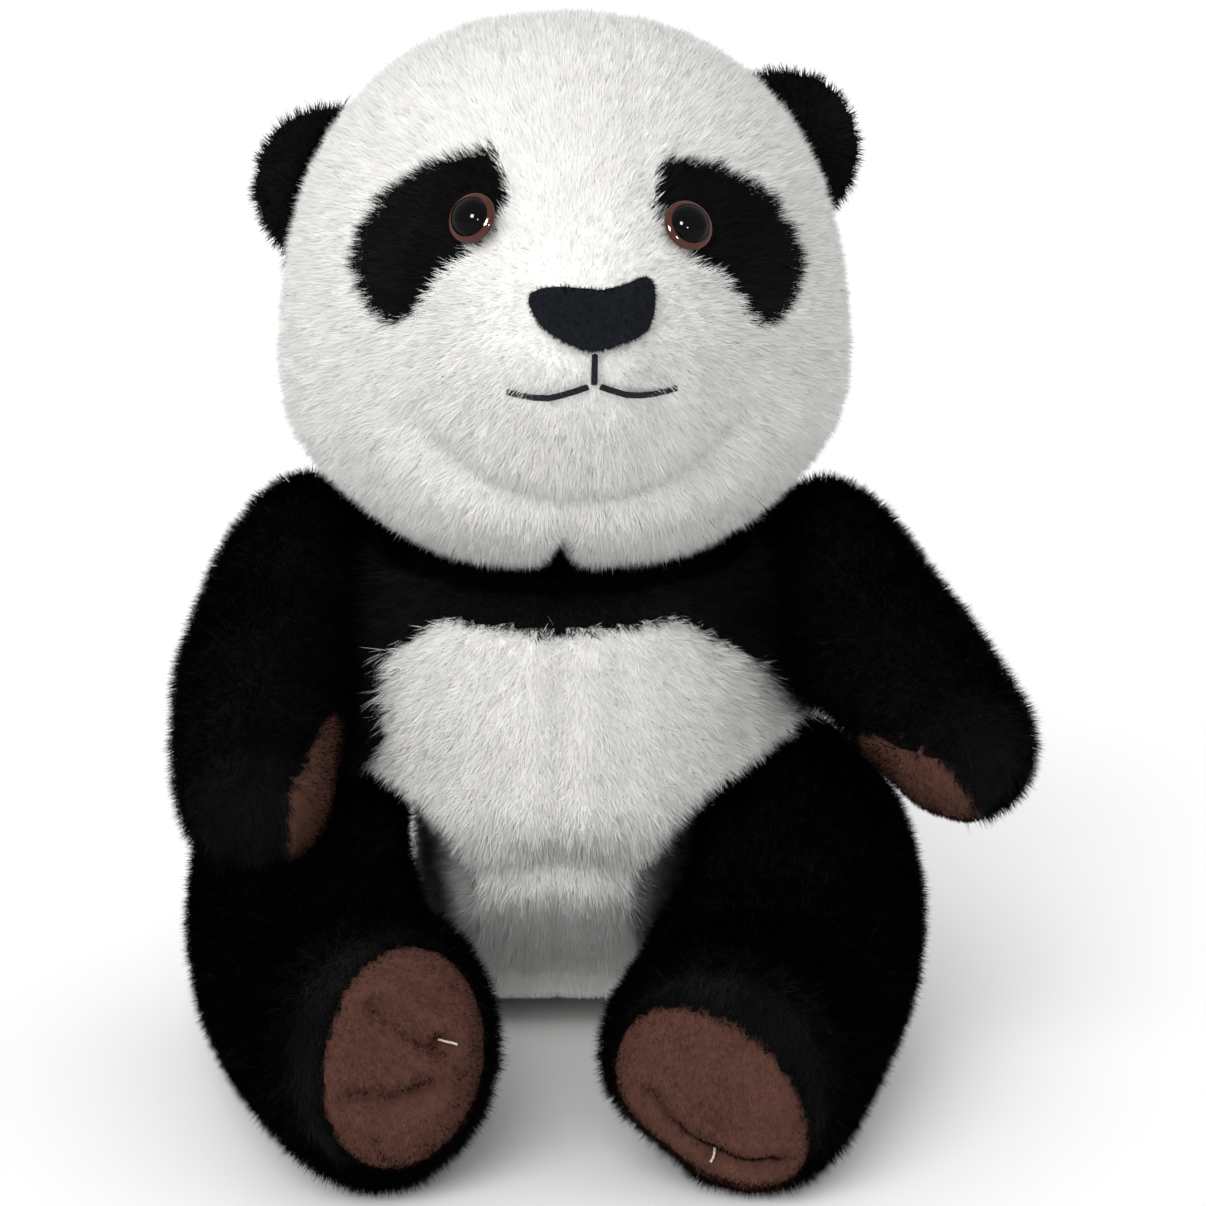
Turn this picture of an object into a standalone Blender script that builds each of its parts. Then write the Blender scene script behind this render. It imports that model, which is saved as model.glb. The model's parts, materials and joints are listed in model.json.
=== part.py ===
"""A seated plush panda: fur panels sewn round stuffed cores, with a turning head and limbs that swing.

Metres, +Z up. The panda sits on the plane z = 0 and faces -Y, and the origin is on its flat seat.
Left and right are the toy's own. A limb's parent empty is on the axis that the limb swings about.
"""

import math

import bmesh
import bpy
import numpy as np
from mathutils import Matrix, Vector
from mathutils.bvhtree import BVHTree

# The toy's left is +X.
SIDES = (("left", 1.0), ("right", -1.0))

# Fabric: a panel's backing and pile together, and the clearances between pieces.
SKIN = 0.0030
GAP = 0.0003
SWING_GAP = 0.0012
HULL_SMOOTHING = 5.0
# Past the object's edge on every side: where a cutter ends when nothing else stops it.
FAR = 0.3
# A smooth outline's points for each corner, a pad's points, and a curve's step when its direction is found.
OUTLINE_STEPS = 2
PAD_SIDES = 24
CURVE_STEP = 0.01

# Head, before it is turned.
HEAD_CENTRE = (0.0, -0.010, 0.1865)
HEAD_HALF = (0.0665, 0.0570, 0.0670)
HEAD_SIDES = 24
HEAD_RINGS = 14
LOWER_HEAD_SQUASH = 0.935
HEAD_REST_TURN = 4.5
NECK_PIVOT = (0.0, 0.002, 0.130)
HEAD_TURN_LIMITS = (-29.5, 20.5)
HEAD_NOD_LIMITS = (-3.0, 12.0)
HEAD_TURN_POSES = 5
SWING_POSES = 4
HEAD_FULLNESS = 0.86
# Swellings, each a place, its reach and its push in X, Y and Z: the cheeks, jowls, chin and muzzle.
HEAD_SWELLS = (
    ((-0.060, -0.016, 0.156), (0.030, 0.040, 0.024), (-0.006, 0.0, -0.001)),
    ((0.060, -0.016, 0.156), (0.030, 0.040, 0.024), (0.006, 0.0, -0.001)),
    ((-0.026, -0.034, 0.132), (0.026, 0.030, 0.018), (-0.002, -0.006, -0.001)),
    ((0.026, -0.034, 0.132), (0.026, 0.030, 0.018), (0.002, -0.006, -0.001)),
    ((0.0, -0.064, 0.150), (0.040, 0.030, 0.018), (0.0, -0.008, 0.0)),
    ((0.0014, -0.064, 0.1845), (0.034, 0.034, 0.024), (0.0, -0.0190, 0.0)),
)
GUSSET_HALF_WIDTH = 0.0140
MUZZLE_SEAM_Z = 0.1785
MUZZLE_SEAM_HALF = (0.0400, 0.0300)
HEAD_SEAM_Y = 0.0120
CROWN_FOOT_Z = 0.165
# The plane behind which nothing on the head's front is cut.
FACE_BACK_Y = -0.004
NOSE_CENTRE = (0.0014, 0.1960)
NOSE_THICKNESS = 0.0035
NOSE_OUTLINE = (
    (-0.0145, 0.0022), (-0.0118, 0.0048), (-0.0070, 0.0056), (0.0020, 0.0047), (0.0085, 0.0062),
    (0.0126, 0.0070), (0.0143, 0.0040), (0.0138, -0.0010), (0.0118, -0.0045), (0.0070, -0.0064),
    (0.0, -0.0082), (-0.0060, -0.0066), (-0.0118, -0.0030),
)
EYE_PATCH_OUTLINE = (
    (0.0160, 0.2180), (0.0200, 0.2268), (0.0320, 0.2243), (0.0450, 0.2158), (0.0522, 0.2020),
    (0.0475, 0.1900), (0.0390, 0.1905), (0.0335, 0.2000), (0.0225, 0.2095),
)
EYE_PATCH_SPREAD = {"left": 1.02, "right": 0.978}
EYE_PLACE = (0.0236, 0.2125)
EYE_SIDES = 14
FACE_RISE = {"left": -0.0010, "right": 0.0010}
EYE_RADIUS = 0.0060
PUPIL_RADIUS = 0.0040
EYE_FACE = 0.0038
# The disc's face rises round the pupil and falls to its edge. The dome is in shares of its radius and height.
IRIS_RISE = 0.0006
IRIS_FALL = 0.0014
IRIS_THICKNESS = 0.0020
IRIS_ROUNDING = 0.0004
PUPIL_HEIGHT = 0.0026
PUPIL_DOME = ((0.0, 1.0), (0.5, 0.88), (0.85, 0.54))
EYE_POST_RADIUS = 0.0022
EYE_POST_LENGTH = 0.0100
POST_HOLE_ENDS = (0.010, -0.020)
EYE_POCKET_ENDS = (0.004, -0.012)
WASHER_DEPTH = 0.0030
WASHER_THICKNESS = 0.0012
EYE_WASHER_RADIUS = 0.0068
MOUTH_TOP_Z = 0.1872
MOUTH_FORK_Z = 0.1795
MOUTH_START_X = 0.0012
MOUTH_REACH = 0.0180
MOUTH_DIP = 0.0030
MOUTH_BEND = 2.26
MOUTH_CENTRE_POINTS = 4
MOUTH_SIDE_POINTS = 7
THREAD_WIDTH = 0.0016
THREAD_THICKNESS = 0.0012

# Ears: thick fur discs, let into the sides of the head.
EAR_CENTRE = (0.0540, 0.012, 0.2138)
EAR_HALF = (0.0218, 0.0055, 0.0218)
EAR_FOLD = 15.0
EAR_SKIN = 0.0022
EAR_SIDES = 14
EAR_RINGS = 8
EAR_FULLNESS = 0.9
EAR_SEAM_X = 0.0605
EAR_SEAM_LEAN = 0.36
EAR_RISE = {"left": 0.0035, "right": -0.0040}

# Torso.
TORSO_CENTRE = (0.0, 0.006, 0.0720)
TORSO_HALF = (0.0620, 0.0600, 0.0840)
TORSO_SIDES = 24
TORSO_RINGS = 12
TORSO_FULLNESS = 0.66
# The belly swells out; the lap and the chest are drawn in.
TORSO_SWELLS = (
    ((0.0, -0.056, 0.078), (0.045, 0.030, 0.034), (0.0, -0.004, 0.0)),
    ((0.0, -0.050, 0.010), (0.060, 0.040, 0.026), (0.0, 0.022, 0.0)),
    ((0.0, -0.056, 0.000), (0.060, 0.022, 0.020), (0.0, 0.004, 0.016)),
    ((0.0, -0.050, 0.150), (0.080, 0.040, 0.022), (0.0, 0.014, 0.0)),
)
SIDE_SEAM_Y = 0.004
BACK_SEAM_Z = 0.098
SEAT_SEAM_Z = 0.010
BELLY_OUTLINE = (
    (-0.0800, 0.0740), (-0.0470, 0.0740), (-0.0425, 0.0860), (-0.0430, 0.1050), (-0.0280, 0.1165),
    (0.0, 0.1150),
    (0.0280, 0.1165), (0.0440, 0.1060), (0.0560, 0.0905), (0.0600, 0.0800), (0.0800, 0.0760),
    (0.0800, -0.0200), (-0.0800, -0.0200),
)
ROUND_SIDES = 20
NECK_WAD_RADIUS = 0.0200
NECK_WAD_FOOT_Z = 0.108
NECK_WAD_RISE = 0.020
NECK_HOLE_RISE = 0.040
POUCH_RADIUS = 0.0240
POUCH_TOP_Z = 0.0220
POCKET_FOOT_Z = -0.010
POUCH_ROUNDING = 0.0030
POUCH_Y = 0.010
CLOSING_STITCH_Z = (0.050, 0.092)
TAIL_CENTRE = (0.0, 0.0680, 0.0280)
TAIL_HALF = (0.0170, 0.0130, 0.0150)
TAIL_SIDES = 14
TAIL_RINGS = 8

# Limbs, each from its root to its tip: a point on the centre line, then the half-width and half-height.
LIMB_SIDES = 16
ARM_RINGS = 10
LEG_RINGS = 12
# How much of a limb's length its root's and its tip's rounding take, and how square the tip is.
ARM_DOMES = (0.22, 0.22, 2.0)
LEG_DOMES = (0.28, 0.14, 2.6)
SHOULDERS = {"right": (-0.066, 0.004, 0.112), "left": (0.068, 0.004, 0.112)}
HIPS = {"right": (-0.056, 0.002, 0.043), "left": (0.050, 0.002, 0.043)}
ARM_STATIONS = {
    "right": (
        ((-0.0585, 0.020, 0.136), 0.0190, 0.0220),
        ((-0.0655, -0.004, 0.111), 0.0212, 0.0232),
        ((-0.0715, -0.031, 0.095), 0.0218, 0.0230),
        ((-0.0710, -0.058, 0.0785), 0.0192, 0.0200),
        ((-0.0675, -0.076, 0.069), 0.0165, 0.0175),
    ),
    "left": (
        ((0.0605, 0.020, 0.134), 0.0190, 0.0220),
        ((0.0697, -0.004, 0.111), 0.0207, 0.0224),
        ((0.0815, -0.030, 0.100), 0.0205, 0.0220),
        ((0.0930, -0.056, 0.0902), 0.0185, 0.0188),
        ((0.1010, -0.074, 0.0845), 0.0160, 0.0166),
    ),
}
LEG_STATIONS = {
    "right": (
        ((-0.050, 0.046, 0.046), 0.0360, 0.0380),
        ((-0.0565, 0.010, 0.041), 0.0370, 0.0372),
        ((-0.0600, -0.030, 0.0300), 0.0316, 0.0280),
        ((-0.0535, -0.066, 0.0243), 0.0280, 0.0223),
        ((-0.0427, -0.097, 0.033), 0.0296, 0.0338),
        ((-0.033, -0.121, 0.037), 0.0272, 0.0310),
    ),
    "left": (
        ((0.046, 0.046, 0.046), 0.0360, 0.0380),
        ((0.050, 0.010, 0.043), 0.0375, 0.0400),
        ((0.0530, -0.030, 0.035), 0.0360, 0.0340),
        ((0.0485, -0.066, 0.027), 0.0315, 0.0275),
        ((0.0388, -0.097, 0.029), 0.0306, 0.0320),
        ((0.0335, -0.121, 0.0285), 0.0275, 0.0295),
    ),
}
# The left foot's edge is pressed in at its inner side, near the floor, and spread at its outer side.
FOOT_SWELLS = {
    "right": (),
    "left": (
        ((0.014, -0.114, 0.004), (0.020, 0.030, 0.014), (0.0040, 0.0, 0.0065)),
        ((0.060, -0.108, 0.008), (0.014, 0.024, 0.014), (0.0030, 0.0, -0.0010)),
    ),
}
ARM_ROOT_X = 0.0480
HIP_FACE_X = 0.0400
HIP_FACE_FRONT_Y = -0.0600
HIP_FACE_LENGTH = 0.0400
ARM_LIFT = 45.0
LEG_DROP = 25.0
SOLE_HALF = (0.0205, 0.0265)
SOLE_TILT = {"right": -11.0, "left": 40.0}
SOLE_SHIFT = {"right": (0.0015, -0.0010), "left": (-0.0010, -0.0040)}
# The stations whose middles a limb's lengthwise seam runs through.
ARM_SEAM_STATION = 2
LEG_SEAM_STATION = 3
PAD_REACH = 0.080
PAW_PAD_HALF = (0.0140, 0.0240)
PAW_PAD_INSET = 0.0070
PAW_PAD_FACING = {"right": (0.97, 0.15, -0.02), "left": (-0.75, -0.10, -0.65)}
PAW_PAD_FORWARD = 0.0020

# Looks: a linear red, green and blue, and a roughness.
LOOKS = {
    "white_fur": ((0.78, 0.77, 0.75), 0.95),
    "black_fur": ((0.006, 0.007, 0.009), 0.95),
    "brown_suede": ((0.10, 0.042, 0.032), 0.90),
    "nose_cloth": ((0.010, 0.012, 0.018), 0.90),
    "eye_brown": ((0.12, 0.030, 0.012), 0.18),
    "pupil_black": ((0.004, 0.004, 0.004), 0.04),
    "stuffing": ((0.70, 0.70, 0.68), 0.90),
    "mouth_thread": ((0.008, 0.008, 0.010), 0.80),
    "closing_thread": ((0.70, 0.70, 0.68), 0.80),
    "pouch_cloth": ((0.55, 0.52, 0.45), 0.90),
    "washer_plastic": ((0.60, 0.60, 0.60), 0.45),
}


def finish(piece, name):
    """Gives a piece its look, as a Principled material made once for each name."""
    look = bpy.data.materials.get(name)
    if look is None:
        colour, roughness = LOOKS[name]
        look = bpy.data.materials.new(name)
        look.use_nodes = True
        shader = look.node_tree.nodes["Principled BSDF"]
        shader.inputs["Base Color"].default_value = (*colour, 1.0)
        shader.inputs["Roughness"].default_value = roughness
        look.diffuse_color = (*colour, 1.0)
    piece.data.materials.append(look)


def add_object(name, points, faces, cutter=False):
    """A mesh object from points and faces, or a hidden cutter."""
    mesh = bpy.data.meshes.new(name)
    mesh.from_pydata([tuple(p) for p in points], [], [tuple(f) for f in faces])
    shape = bmesh.new()
    shape.from_mesh(mesh)
    bmesh.ops.recalc_face_normals(shape, faces=shape.faces)
    shape.to_mesh(mesh)
    shape.free()
    mesh.shade_smooth()
    piece = bpy.data.objects.new(name, mesh)
    bpy.context.collection.objects.link(piece)
    if cutter:
        piece.hide_render = True
        piece.display_type = "WIRE"
    return piece


def boolean(piece, other, operation):
    """Adds a Boolean modifier that cuts, joins or intersects a piece with another object."""
    modifier = piece.modifiers.new(other.name, "BOOLEAN")
    modifier.operation = operation
    modifier.object = other
    modifier.solver = "EXACT"
    return piece


# --- Forms: closed grids of points that the fabric panels and the stuffing are offset from ---


def grid_faces(rings, sides):
    """Triangles of a closed form: a first pole, rings of points, and a last pole."""
    faces = []
    last = 1 + rings * sides
    for k in range(sides):
        n = (k + 1) % sides
        faces.append((0, 1 + n, 1 + k))
        faces.append((last, last - sides + k, last - sides + n))
    for r in range(rings - 1):
        low = 1 + r * sides
        high = low + sides
        for k in range(sides):
            n = (k + 1) % sides
            faces.append((low + k, low + n, high + n))
            faces.append((low + k, high + n, high + k))
    return faces


def offset_form(points, faces, grow):
    """The form's points moved outwards along their normals, or inwards where grow is negative."""
    shape = bmesh.new()
    made = [shape.verts.new(p) for p in points]
    for face in faces:
        shape.faces.new([made[i] for i in face])
    bmesh.ops.recalc_face_normals(shape, faces=shape.faces)
    shape.normal_update()
    moved = [v.co + v.normal * grow for v in made]
    shape.free()
    return moved


def egg(centre, half, sides, rings, fullness):
    """Points of an upright egg. Fullness below 1 squares its shoulders and its base."""
    points = [Vector((centre[0], centre[1], centre[2] - half[2]))]
    for r in range(1, rings):
        rise = math.pi * (r / rings - 0.5)
        spread = math.cos(rise) ** fullness
        for k in range(sides):
            turn = 2.0 * math.pi * (k + 0.5) / sides
            x = centre[0] + half[0] * spread * math.cos(turn)
            y = centre[1] + half[1] * spread * math.sin(turn)
            points.append(Vector((x, y, centre[2] + half[2] * math.sin(rise))))
    points.append(Vector((centre[0], centre[1], centre[2] + half[2])))
    return points, grid_faces(rings - 1, sides)


def swell(points, place, reach, push):
    """Pushes the points near a place, most at its middle, and less away from it in each direction."""
    for point in points:
        away = sum(((point[i] - place[i]) / reach[i]) ** 2 for i in range(3))
        point += Vector(push) * math.exp(-away)


def curve_point(stations, s):
    """A smooth curve through the stations' values at s, from 0 at the first to 1 at the last."""
    values = np.array([[*p, w, h] for p, w, h in stations])
    values = np.vstack([2 * values[0] - values[1], values, 2 * values[-1] - values[-2]])
    place = min(max(s, 0.0), 1.0) * (len(stations) - 1)
    i = min(int(place), len(stations) - 2)
    t = place - i
    a, b, c, d = values[i : i + 4]
    bend = 2 * a - 5 * b + 4 * c - d
    twist = 3 * b - a - 3 * c + d
    return 0.5 * (2 * b + (c - a) * t + bend * t * t + twist * t ** 3)


def limb(stations, sides, rings, root_dome, tip_dome, tip_fullness):
    """Points of a limb along its stations, with a round root and a tip that is round or nearly flat."""
    points = [Vector(curve_point(stations, 0.0)[:3])]
    for r in range(1, rings):
        s = 0.5 - 0.5 * math.cos(math.pi * r / rings)
        here = curve_point(stations, s)
        along = curve_point(stations, s + CURVE_STEP)[:3] - curve_point(stations, s - CURVE_STEP)[:3]
        along = Vector(along).normalized()
        side = along.cross(Vector((0.0, 0.0, 1.0))).normalized()
        up = side.cross(along)
        size = 1.0
        if s < root_dome:
            size = math.sqrt(1.0 - (1.0 - s / root_dome) ** 2)
        if s > 1.0 - tip_dome:
            size = (1.0 - (1.0 - (1.0 - s) / tip_dome) ** tip_fullness) ** (1.0 / tip_fullness)
        for k in range(sides):
            turn = 2.0 * math.pi * (k + 0.5) / sides
            out = side * (here[3] * math.cos(turn)) + up * (here[4] * math.sin(turn))
            points.append(Vector(here[:3]) + out * size)
    points.append(Vector(curve_point(stations, 1.0)[:3]))
    return points, grid_faces(rings - 1, sides)


def seat_on_floor(points):
    """Flattens what would sink below the plane that the panda sits on."""
    for point in points:
        point.z = max(point.z, 0.0)


def head_form(grow):
    """The head: round, wide at the cheeks, with a broad muzzle."""
    points, faces = egg(HEAD_CENTRE, HEAD_HALF, HEAD_SIDES, HEAD_RINGS, HEAD_FULLNESS)
    for point in points:
        if point.z < HEAD_CENTRE[2]:
            point.z = HEAD_CENTRE[2] + (point.z - HEAD_CENTRE[2]) * LOWER_HEAD_SQUASH
    for place, reach, push in HEAD_SWELLS:
        swell(points, place, reach, push)
    return offset_form(points, faces, grow), faces


def torso_form(grow):
    """The torso: a pear with broad shoulders, a flat seat and a full belly."""
    points, faces = egg(TORSO_CENTRE, TORSO_HALF, TORSO_SIDES, TORSO_RINGS, TORSO_FULLNESS)
    for place, reach, push in TORSO_SWELLS:
        swell(points, place, reach, push)
    seat_on_floor(points)
    return offset_form(points, faces, grow), faces


def side_sign(side):
    """+1 on the toy's left, which is +X, and -1 on its right."""
    return 1.0 if side == "left" else -1.0


def arm_form(side, grow):
    """An arm: a stuffed tube that tapers to a round paw, flat where it lies against the torso."""
    points, faces = limb(ARM_STATIONS[side], LIMB_SIDES, ARM_RINGS, *ARM_DOMES)
    sign = side_sign(side)
    for point in points:
        point.x = sign * max(sign * point.x, ARM_ROOT_X)
    return offset_form(points, faces, grow), faces


def leg_form(side, grow):
    """A leg: a fat thigh, flat against the torso, that tapers to an upright foot with a nearly flat sole."""
    points, faces = limb(LEG_STATIONS[side], LIMB_SIDES, LEG_RINGS, *LEG_DOMES)
    for place, reach, push in FOOT_SWELLS[side]:
        swell(points, place, reach, push)
    sign = side_sign(side)
    for point in points:
        backward = min(max((point.y - HIP_FACE_FRONT_Y) / HIP_FACE_LENGTH, 0.0), 1.0)
        point.x = sign * max(sign * point.x, HIP_FACE_X * backward)
    seat_on_floor(points)
    return offset_form(points, faces, grow), faces


def ear_form(side, grow):
    """An ear: an upright disc, thick at its middle."""
    sign = side_sign(side)
    centre = (sign * EAR_CENTRE[0], EAR_CENTRE[1], EAR_CENTRE[2] + EAR_RISE[side])
    half = [extent + grow for extent in EAR_HALF]
    return egg(centre, half, EAR_SIDES, EAR_RINGS, EAR_FULLNESS)


# --- Cutters ---


def add_form(name, form, cutter=True):
    """A form as an object."""
    points, faces = form
    return add_object(name, points, faces, cutter)


def add_box(name, low, high):
    """A cutter box between two corners."""
    points = [
        (x, y, z) for x in (low[0], high[0]) for y in (low[1], high[1]) for z in (low[2], high[2])
    ]
    faces = ((0, 1, 3, 2), (4, 6, 7, 5), (0, 4, 5, 1), (2, 3, 7, 6), (0, 2, 6, 4), (1, 5, 7, 3))
    return add_object(name, points, faces, cutter=True)


def smooth_outline(corners, steps):
    """A smooth closed outline through its corners, with a few points between each two."""
    count = len(corners)
    outline = []
    for i in range(count):
        a, b, c, d = (np.array(corners[(i + n) % count]) for n in (-1, 0, 1, 2))
        for t in np.arange(steps) / steps:
            bend = 2 * a - 5 * b + 4 * c - d
            twist = 3 * b - a - 3 * c + d
            outline.append(0.5 * (2 * b + (c - a) * t + bend * t * t + twist * t ** 3))
    return outline


def ellipse_outline(half, tilt, count):
    """An ellipse's outline, turned by tilt degrees."""
    turned = Matrix.Rotation(math.radians(tilt), 2)
    outline = []
    for k in range(count):
        angle = 2.0 * math.pi * k / count
        outline.append(tuple(turned @ Vector((half[0] * math.cos(angle), half[1] * math.sin(angle)))))
    return outline


def inflate_outline(outline, grow):
    """An outline moved outwards by grow, away from its enclosed side."""
    points = np.array(outline)
    ahead = np.roll(points, -1, axis=0) - np.roll(points, 1, axis=0)
    outward = np.stack([ahead[:, 1], -ahead[:, 0]], axis=1)
    outward /= np.linalg.norm(outward, axis=1)[:, None]
    area = np.sum(points[:, 0] * np.roll(points[:, 1], -1) - points[:, 1] * np.roll(points[:, 0], -1))
    return points + outward * grow * (1.0 if area > 0 else -1.0)


def strip_outline(centre_line, width):
    """The outline of a thread that follows its centre line."""
    points = np.array(centre_line)
    ahead = np.gradient(points, axis=0)
    across = np.stack([-ahead[:, 1], ahead[:, 0]], axis=1)
    across /= np.linalg.norm(across, axis=1)[:, None]
    return np.vstack([points + across * width / 2, (points - across * width / 2)[::-1]])


def prism(name, outline, origin, side, up, near, far):
    """A cutter: an outline drawn on the plane of side and up, and drawn out from near to far."""
    side = Vector(side).normalized()
    up = Vector(up).normalized()
    along = side.cross(up)
    points = []
    for depth in (near, far):
        points += [Vector(origin) + side * u + up * v + along * depth for u, v in outline]
    count = len(outline)
    faces = [tuple(range(count)), tuple(range(2 * count - 1, count - 1, -1))]
    faces += [(k, (k + 1) % count, count + (k + 1) % count, count + k) for k in range(count)]
    return add_object(name, points, faces, cutter=True)


def aimed_prism(name, outline, place, side, up, facing, start=0.0):
    """A cutter drawn out of a limb the way that it faces, starting a little way out from a place."""
    sense = 1.0 if side.cross(up).dot(facing) > 0 else -1.0
    near, far = sorted((sense * start, sense * PAD_REACH))
    return prism(name, outline, place, side, up, near, far)


def front_prism(name, outline, back=FACE_BACK_Y):
    """A cutter drawn on the plane of X and Z and drawn out along Y, from far in front to its back."""
    return prism(name, outline, (0.0, 0.0, 0.0), (1.0, 0.0, 0.0), (0.0, 0.0, 1.0), -back, FAR)


def swept_hull(name, points, pivot, poses):
    """A cutter that encloses a form in each of its poses, so that what it cuts stays out of the way."""
    shape = bmesh.new()
    for pose in poses:
        turn = Matrix.Translation(pivot) @ pose @ Matrix.Translation(-Vector(pivot))
        for point in points:
            shape.verts.new(turn @ point)
    result = bmesh.ops.convex_hull(shape, input=shape.verts)
    spare = {v for v in result["geom_interior"] + result["geom_unused"] if isinstance(v, bmesh.types.BMVert)}
    bmesh.ops.delete(shape, geom=list(spare), context="VERTS")
    bmesh.ops.dissolve_limit(
        shape, angle_limit=math.radians(HULL_SMOOTHING), verts=shape.verts, edges=shape.edges,
    )
    bmesh.ops.triangulate(shape, faces=shape.faces)
    points = [v.co.copy() for v in shape.verts]
    shape.verts.index_update()
    faces = [tuple(v.index for v in f.verts) for f in shape.faces]
    shape.free()
    return add_object(name, points, faces, cutter=True)


# --- Joint axes ---


def axis_empty(name, place, turn=0.0, parent=None, parent_place=(0.0, 0.0, 0.0)):
    """An empty on a joint's axis, turned about +Z by turn degrees."""
    empty = bpy.data.objects.new(name, None)
    bpy.context.collection.objects.link(empty)
    empty.empty_display_size = 0.02
    empty.location = Vector(place) - Vector(parent_place)
    empty.rotation_euler = (0.0, 0.0, math.radians(turn))
    empty.parent = parent
    return empty


def carry(pieces, empty, place):
    """Parents pieces to an empty at a place, leaving them where they were drawn."""
    for piece in pieces:
        piece.data.transform(Matrix.Translation(-Vector(place)))
        piece.parent = empty


def head_poses():
    """The head's turns and nods, from the way it is drawn, that its neighbours leave room for."""
    poses = []
    for turn in np.linspace(*HEAD_TURN_LIMITS, HEAD_TURN_POSES):
        for nod in (HEAD_NOD_LIMITS[0], 0.0, HEAD_NOD_LIMITS[1]):
            turned = Matrix.Rotation(math.radians(HEAD_REST_TURN + turn), 4, "Z")
            poses.append(turned @ Matrix.Rotation(math.radians(-nod), 4, "X"))
    return poses


def swing_poses(low, high):
    """A limb's swing about the X axis through its joint."""
    return [Matrix.Rotation(math.radians(-angle), 4, "X") for angle in np.linspace(low, high, SWING_POSES)]


# --- Parts ---


def fur_panel(name, form, look, region, cuts):
    """One fabric panel: what lies in its region of a form, above the stuffing's own cutter in cuts."""
    piece = add_form(name, form, cutter=False)
    finish(piece, look)
    boolean(piece, region, "INTERSECT")
    for cutter in cuts:
        boolean(piece, cutter, "DIFFERENCE")
    return piece


def front_point(form, x, z):
    """The point of a form's front at x and z, and the way that the form faces there."""
    tree = BVHTree.FromPolygons(*form)
    place, facing, _, _ = tree.ray_cast(Vector((x, -FAR, z)), Vector((0.0, 1.0, 0.0)))
    return place, facing if facing.y < 0 else -facing


def turned(name, profile, place, direction, sides, cutter=False):
    """A turned solid: a profile of (radius, height) from one end to the other, about a direction."""
    basis = direction.to_track_quat("Z", "Y").to_matrix()
    points = [place + basis @ Vector((0.0, 0.0, profile[0][1]))]
    rings = 0
    for radius, height in profile[1:-1]:
        rings += 1
        for k in range(sides):
            angle = 2.0 * math.pi * k / sides
            around = Vector((radius * math.cos(angle), radius * math.sin(angle), height))
            points.append(place + basis @ around)
    points.append(place + basis @ Vector((0.0, 0.0, profile[-1][1])))
    return add_object(name, points, grid_faces(rings, sides), cutter)


def bore(name, radius, ends, place, direction, sides):
    """A round cutter between two heights about a direction."""
    profile = ((0.0, ends[0]), (radius, ends[0]), (radius, ends[1]), (0.0, ends[1]))
    return turned(name, profile, place, direction, sides, cutter=True)


def ring(name, inner, outer, low, high, place, direction, sides):
    """A flat ring about a direction."""
    basis = direction.to_track_quat("Z", "Y").to_matrix()
    points = []
    for radius, height in ((inner, low), (outer, low), (outer, high), (inner, high)):
        for k in range(sides):
            angle = 2.0 * math.pi * k / sides
            around = Vector((radius * math.cos(angle), radius * math.sin(angle), height))
            points.append(place + basis @ around)
    faces = []
    for r in range(4):
        low_row = r * sides
        high_row = ((r + 1) % 4) * sides
        for k in range(sides):
            n = (k + 1) % sides
            faces.append((low_row + k, low_row + n, high_row + n, high_row + k))
    return add_object(name, points, faces)


def make_eye(side, sign, form):
    """A safety eye: a brown disc on a post, a black pupil set in its face, and a lock washer behind."""
    place, direction = front_point(form, sign * EYE_PLACE[0], EYE_PLACE[1] + FACE_RISE[side])
    face = EYE_FACE
    back = face - IRIS_THICKNESS
    inside = EYE_RADIUS - IRIS_ROUNDING
    crest = (PUPIL_RADIUS + inside) / 2
    disc = (
        (0.0, face), (PUPIL_RADIUS + GAP, face), (crest, face + IRIS_RISE), (inside, face - IRIS_RISE),
        (EYE_RADIUS, face - IRIS_FALL), (inside, back), (EYE_POST_RADIUS, back),
        (EYE_POST_RADIUS, -EYE_POST_LENGTH), (0.0, -EYE_POST_LENGTH),
    )
    iris = turned(f"eye_{side}_iris", disc, place, direction, EYE_SIDES)
    finish(iris, "eye_brown")
    dome = [(PUPIL_RADIUS * across, face + PUPIL_HEIGHT * high) for across, high in PUPIL_DOME]
    dome += [(PUPIL_RADIUS, face + GAP), (0.0, face + GAP)]
    pupil = turned(f"eye_{side}_pupil", dome, place, direction, EYE_SIDES)
    finish(pupil, "pupil_black")
    hole = EYE_POST_RADIUS + GAP
    near = -SKIN - WASHER_DEPTH
    far = near - WASHER_THICKNESS
    washer = ring(f"eye_{side}_washer", hole, EYE_WASHER_RADIUS, far, near, place, direction, EYE_SIDES)
    finish(washer, "washer_plastic")
    pocket = bore(f"eye_{side}_pocket", EYE_WASHER_RADIUS + GAP, EYE_POCKET_ENDS, place, direction, EYE_SIDES)
    post_hole = bore(f"eye_{side}_post_hole", hole, POST_HOLE_ENDS, place, direction, EYE_SIDES)
    return [iris, pupil, washer], pocket, post_hole


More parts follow.
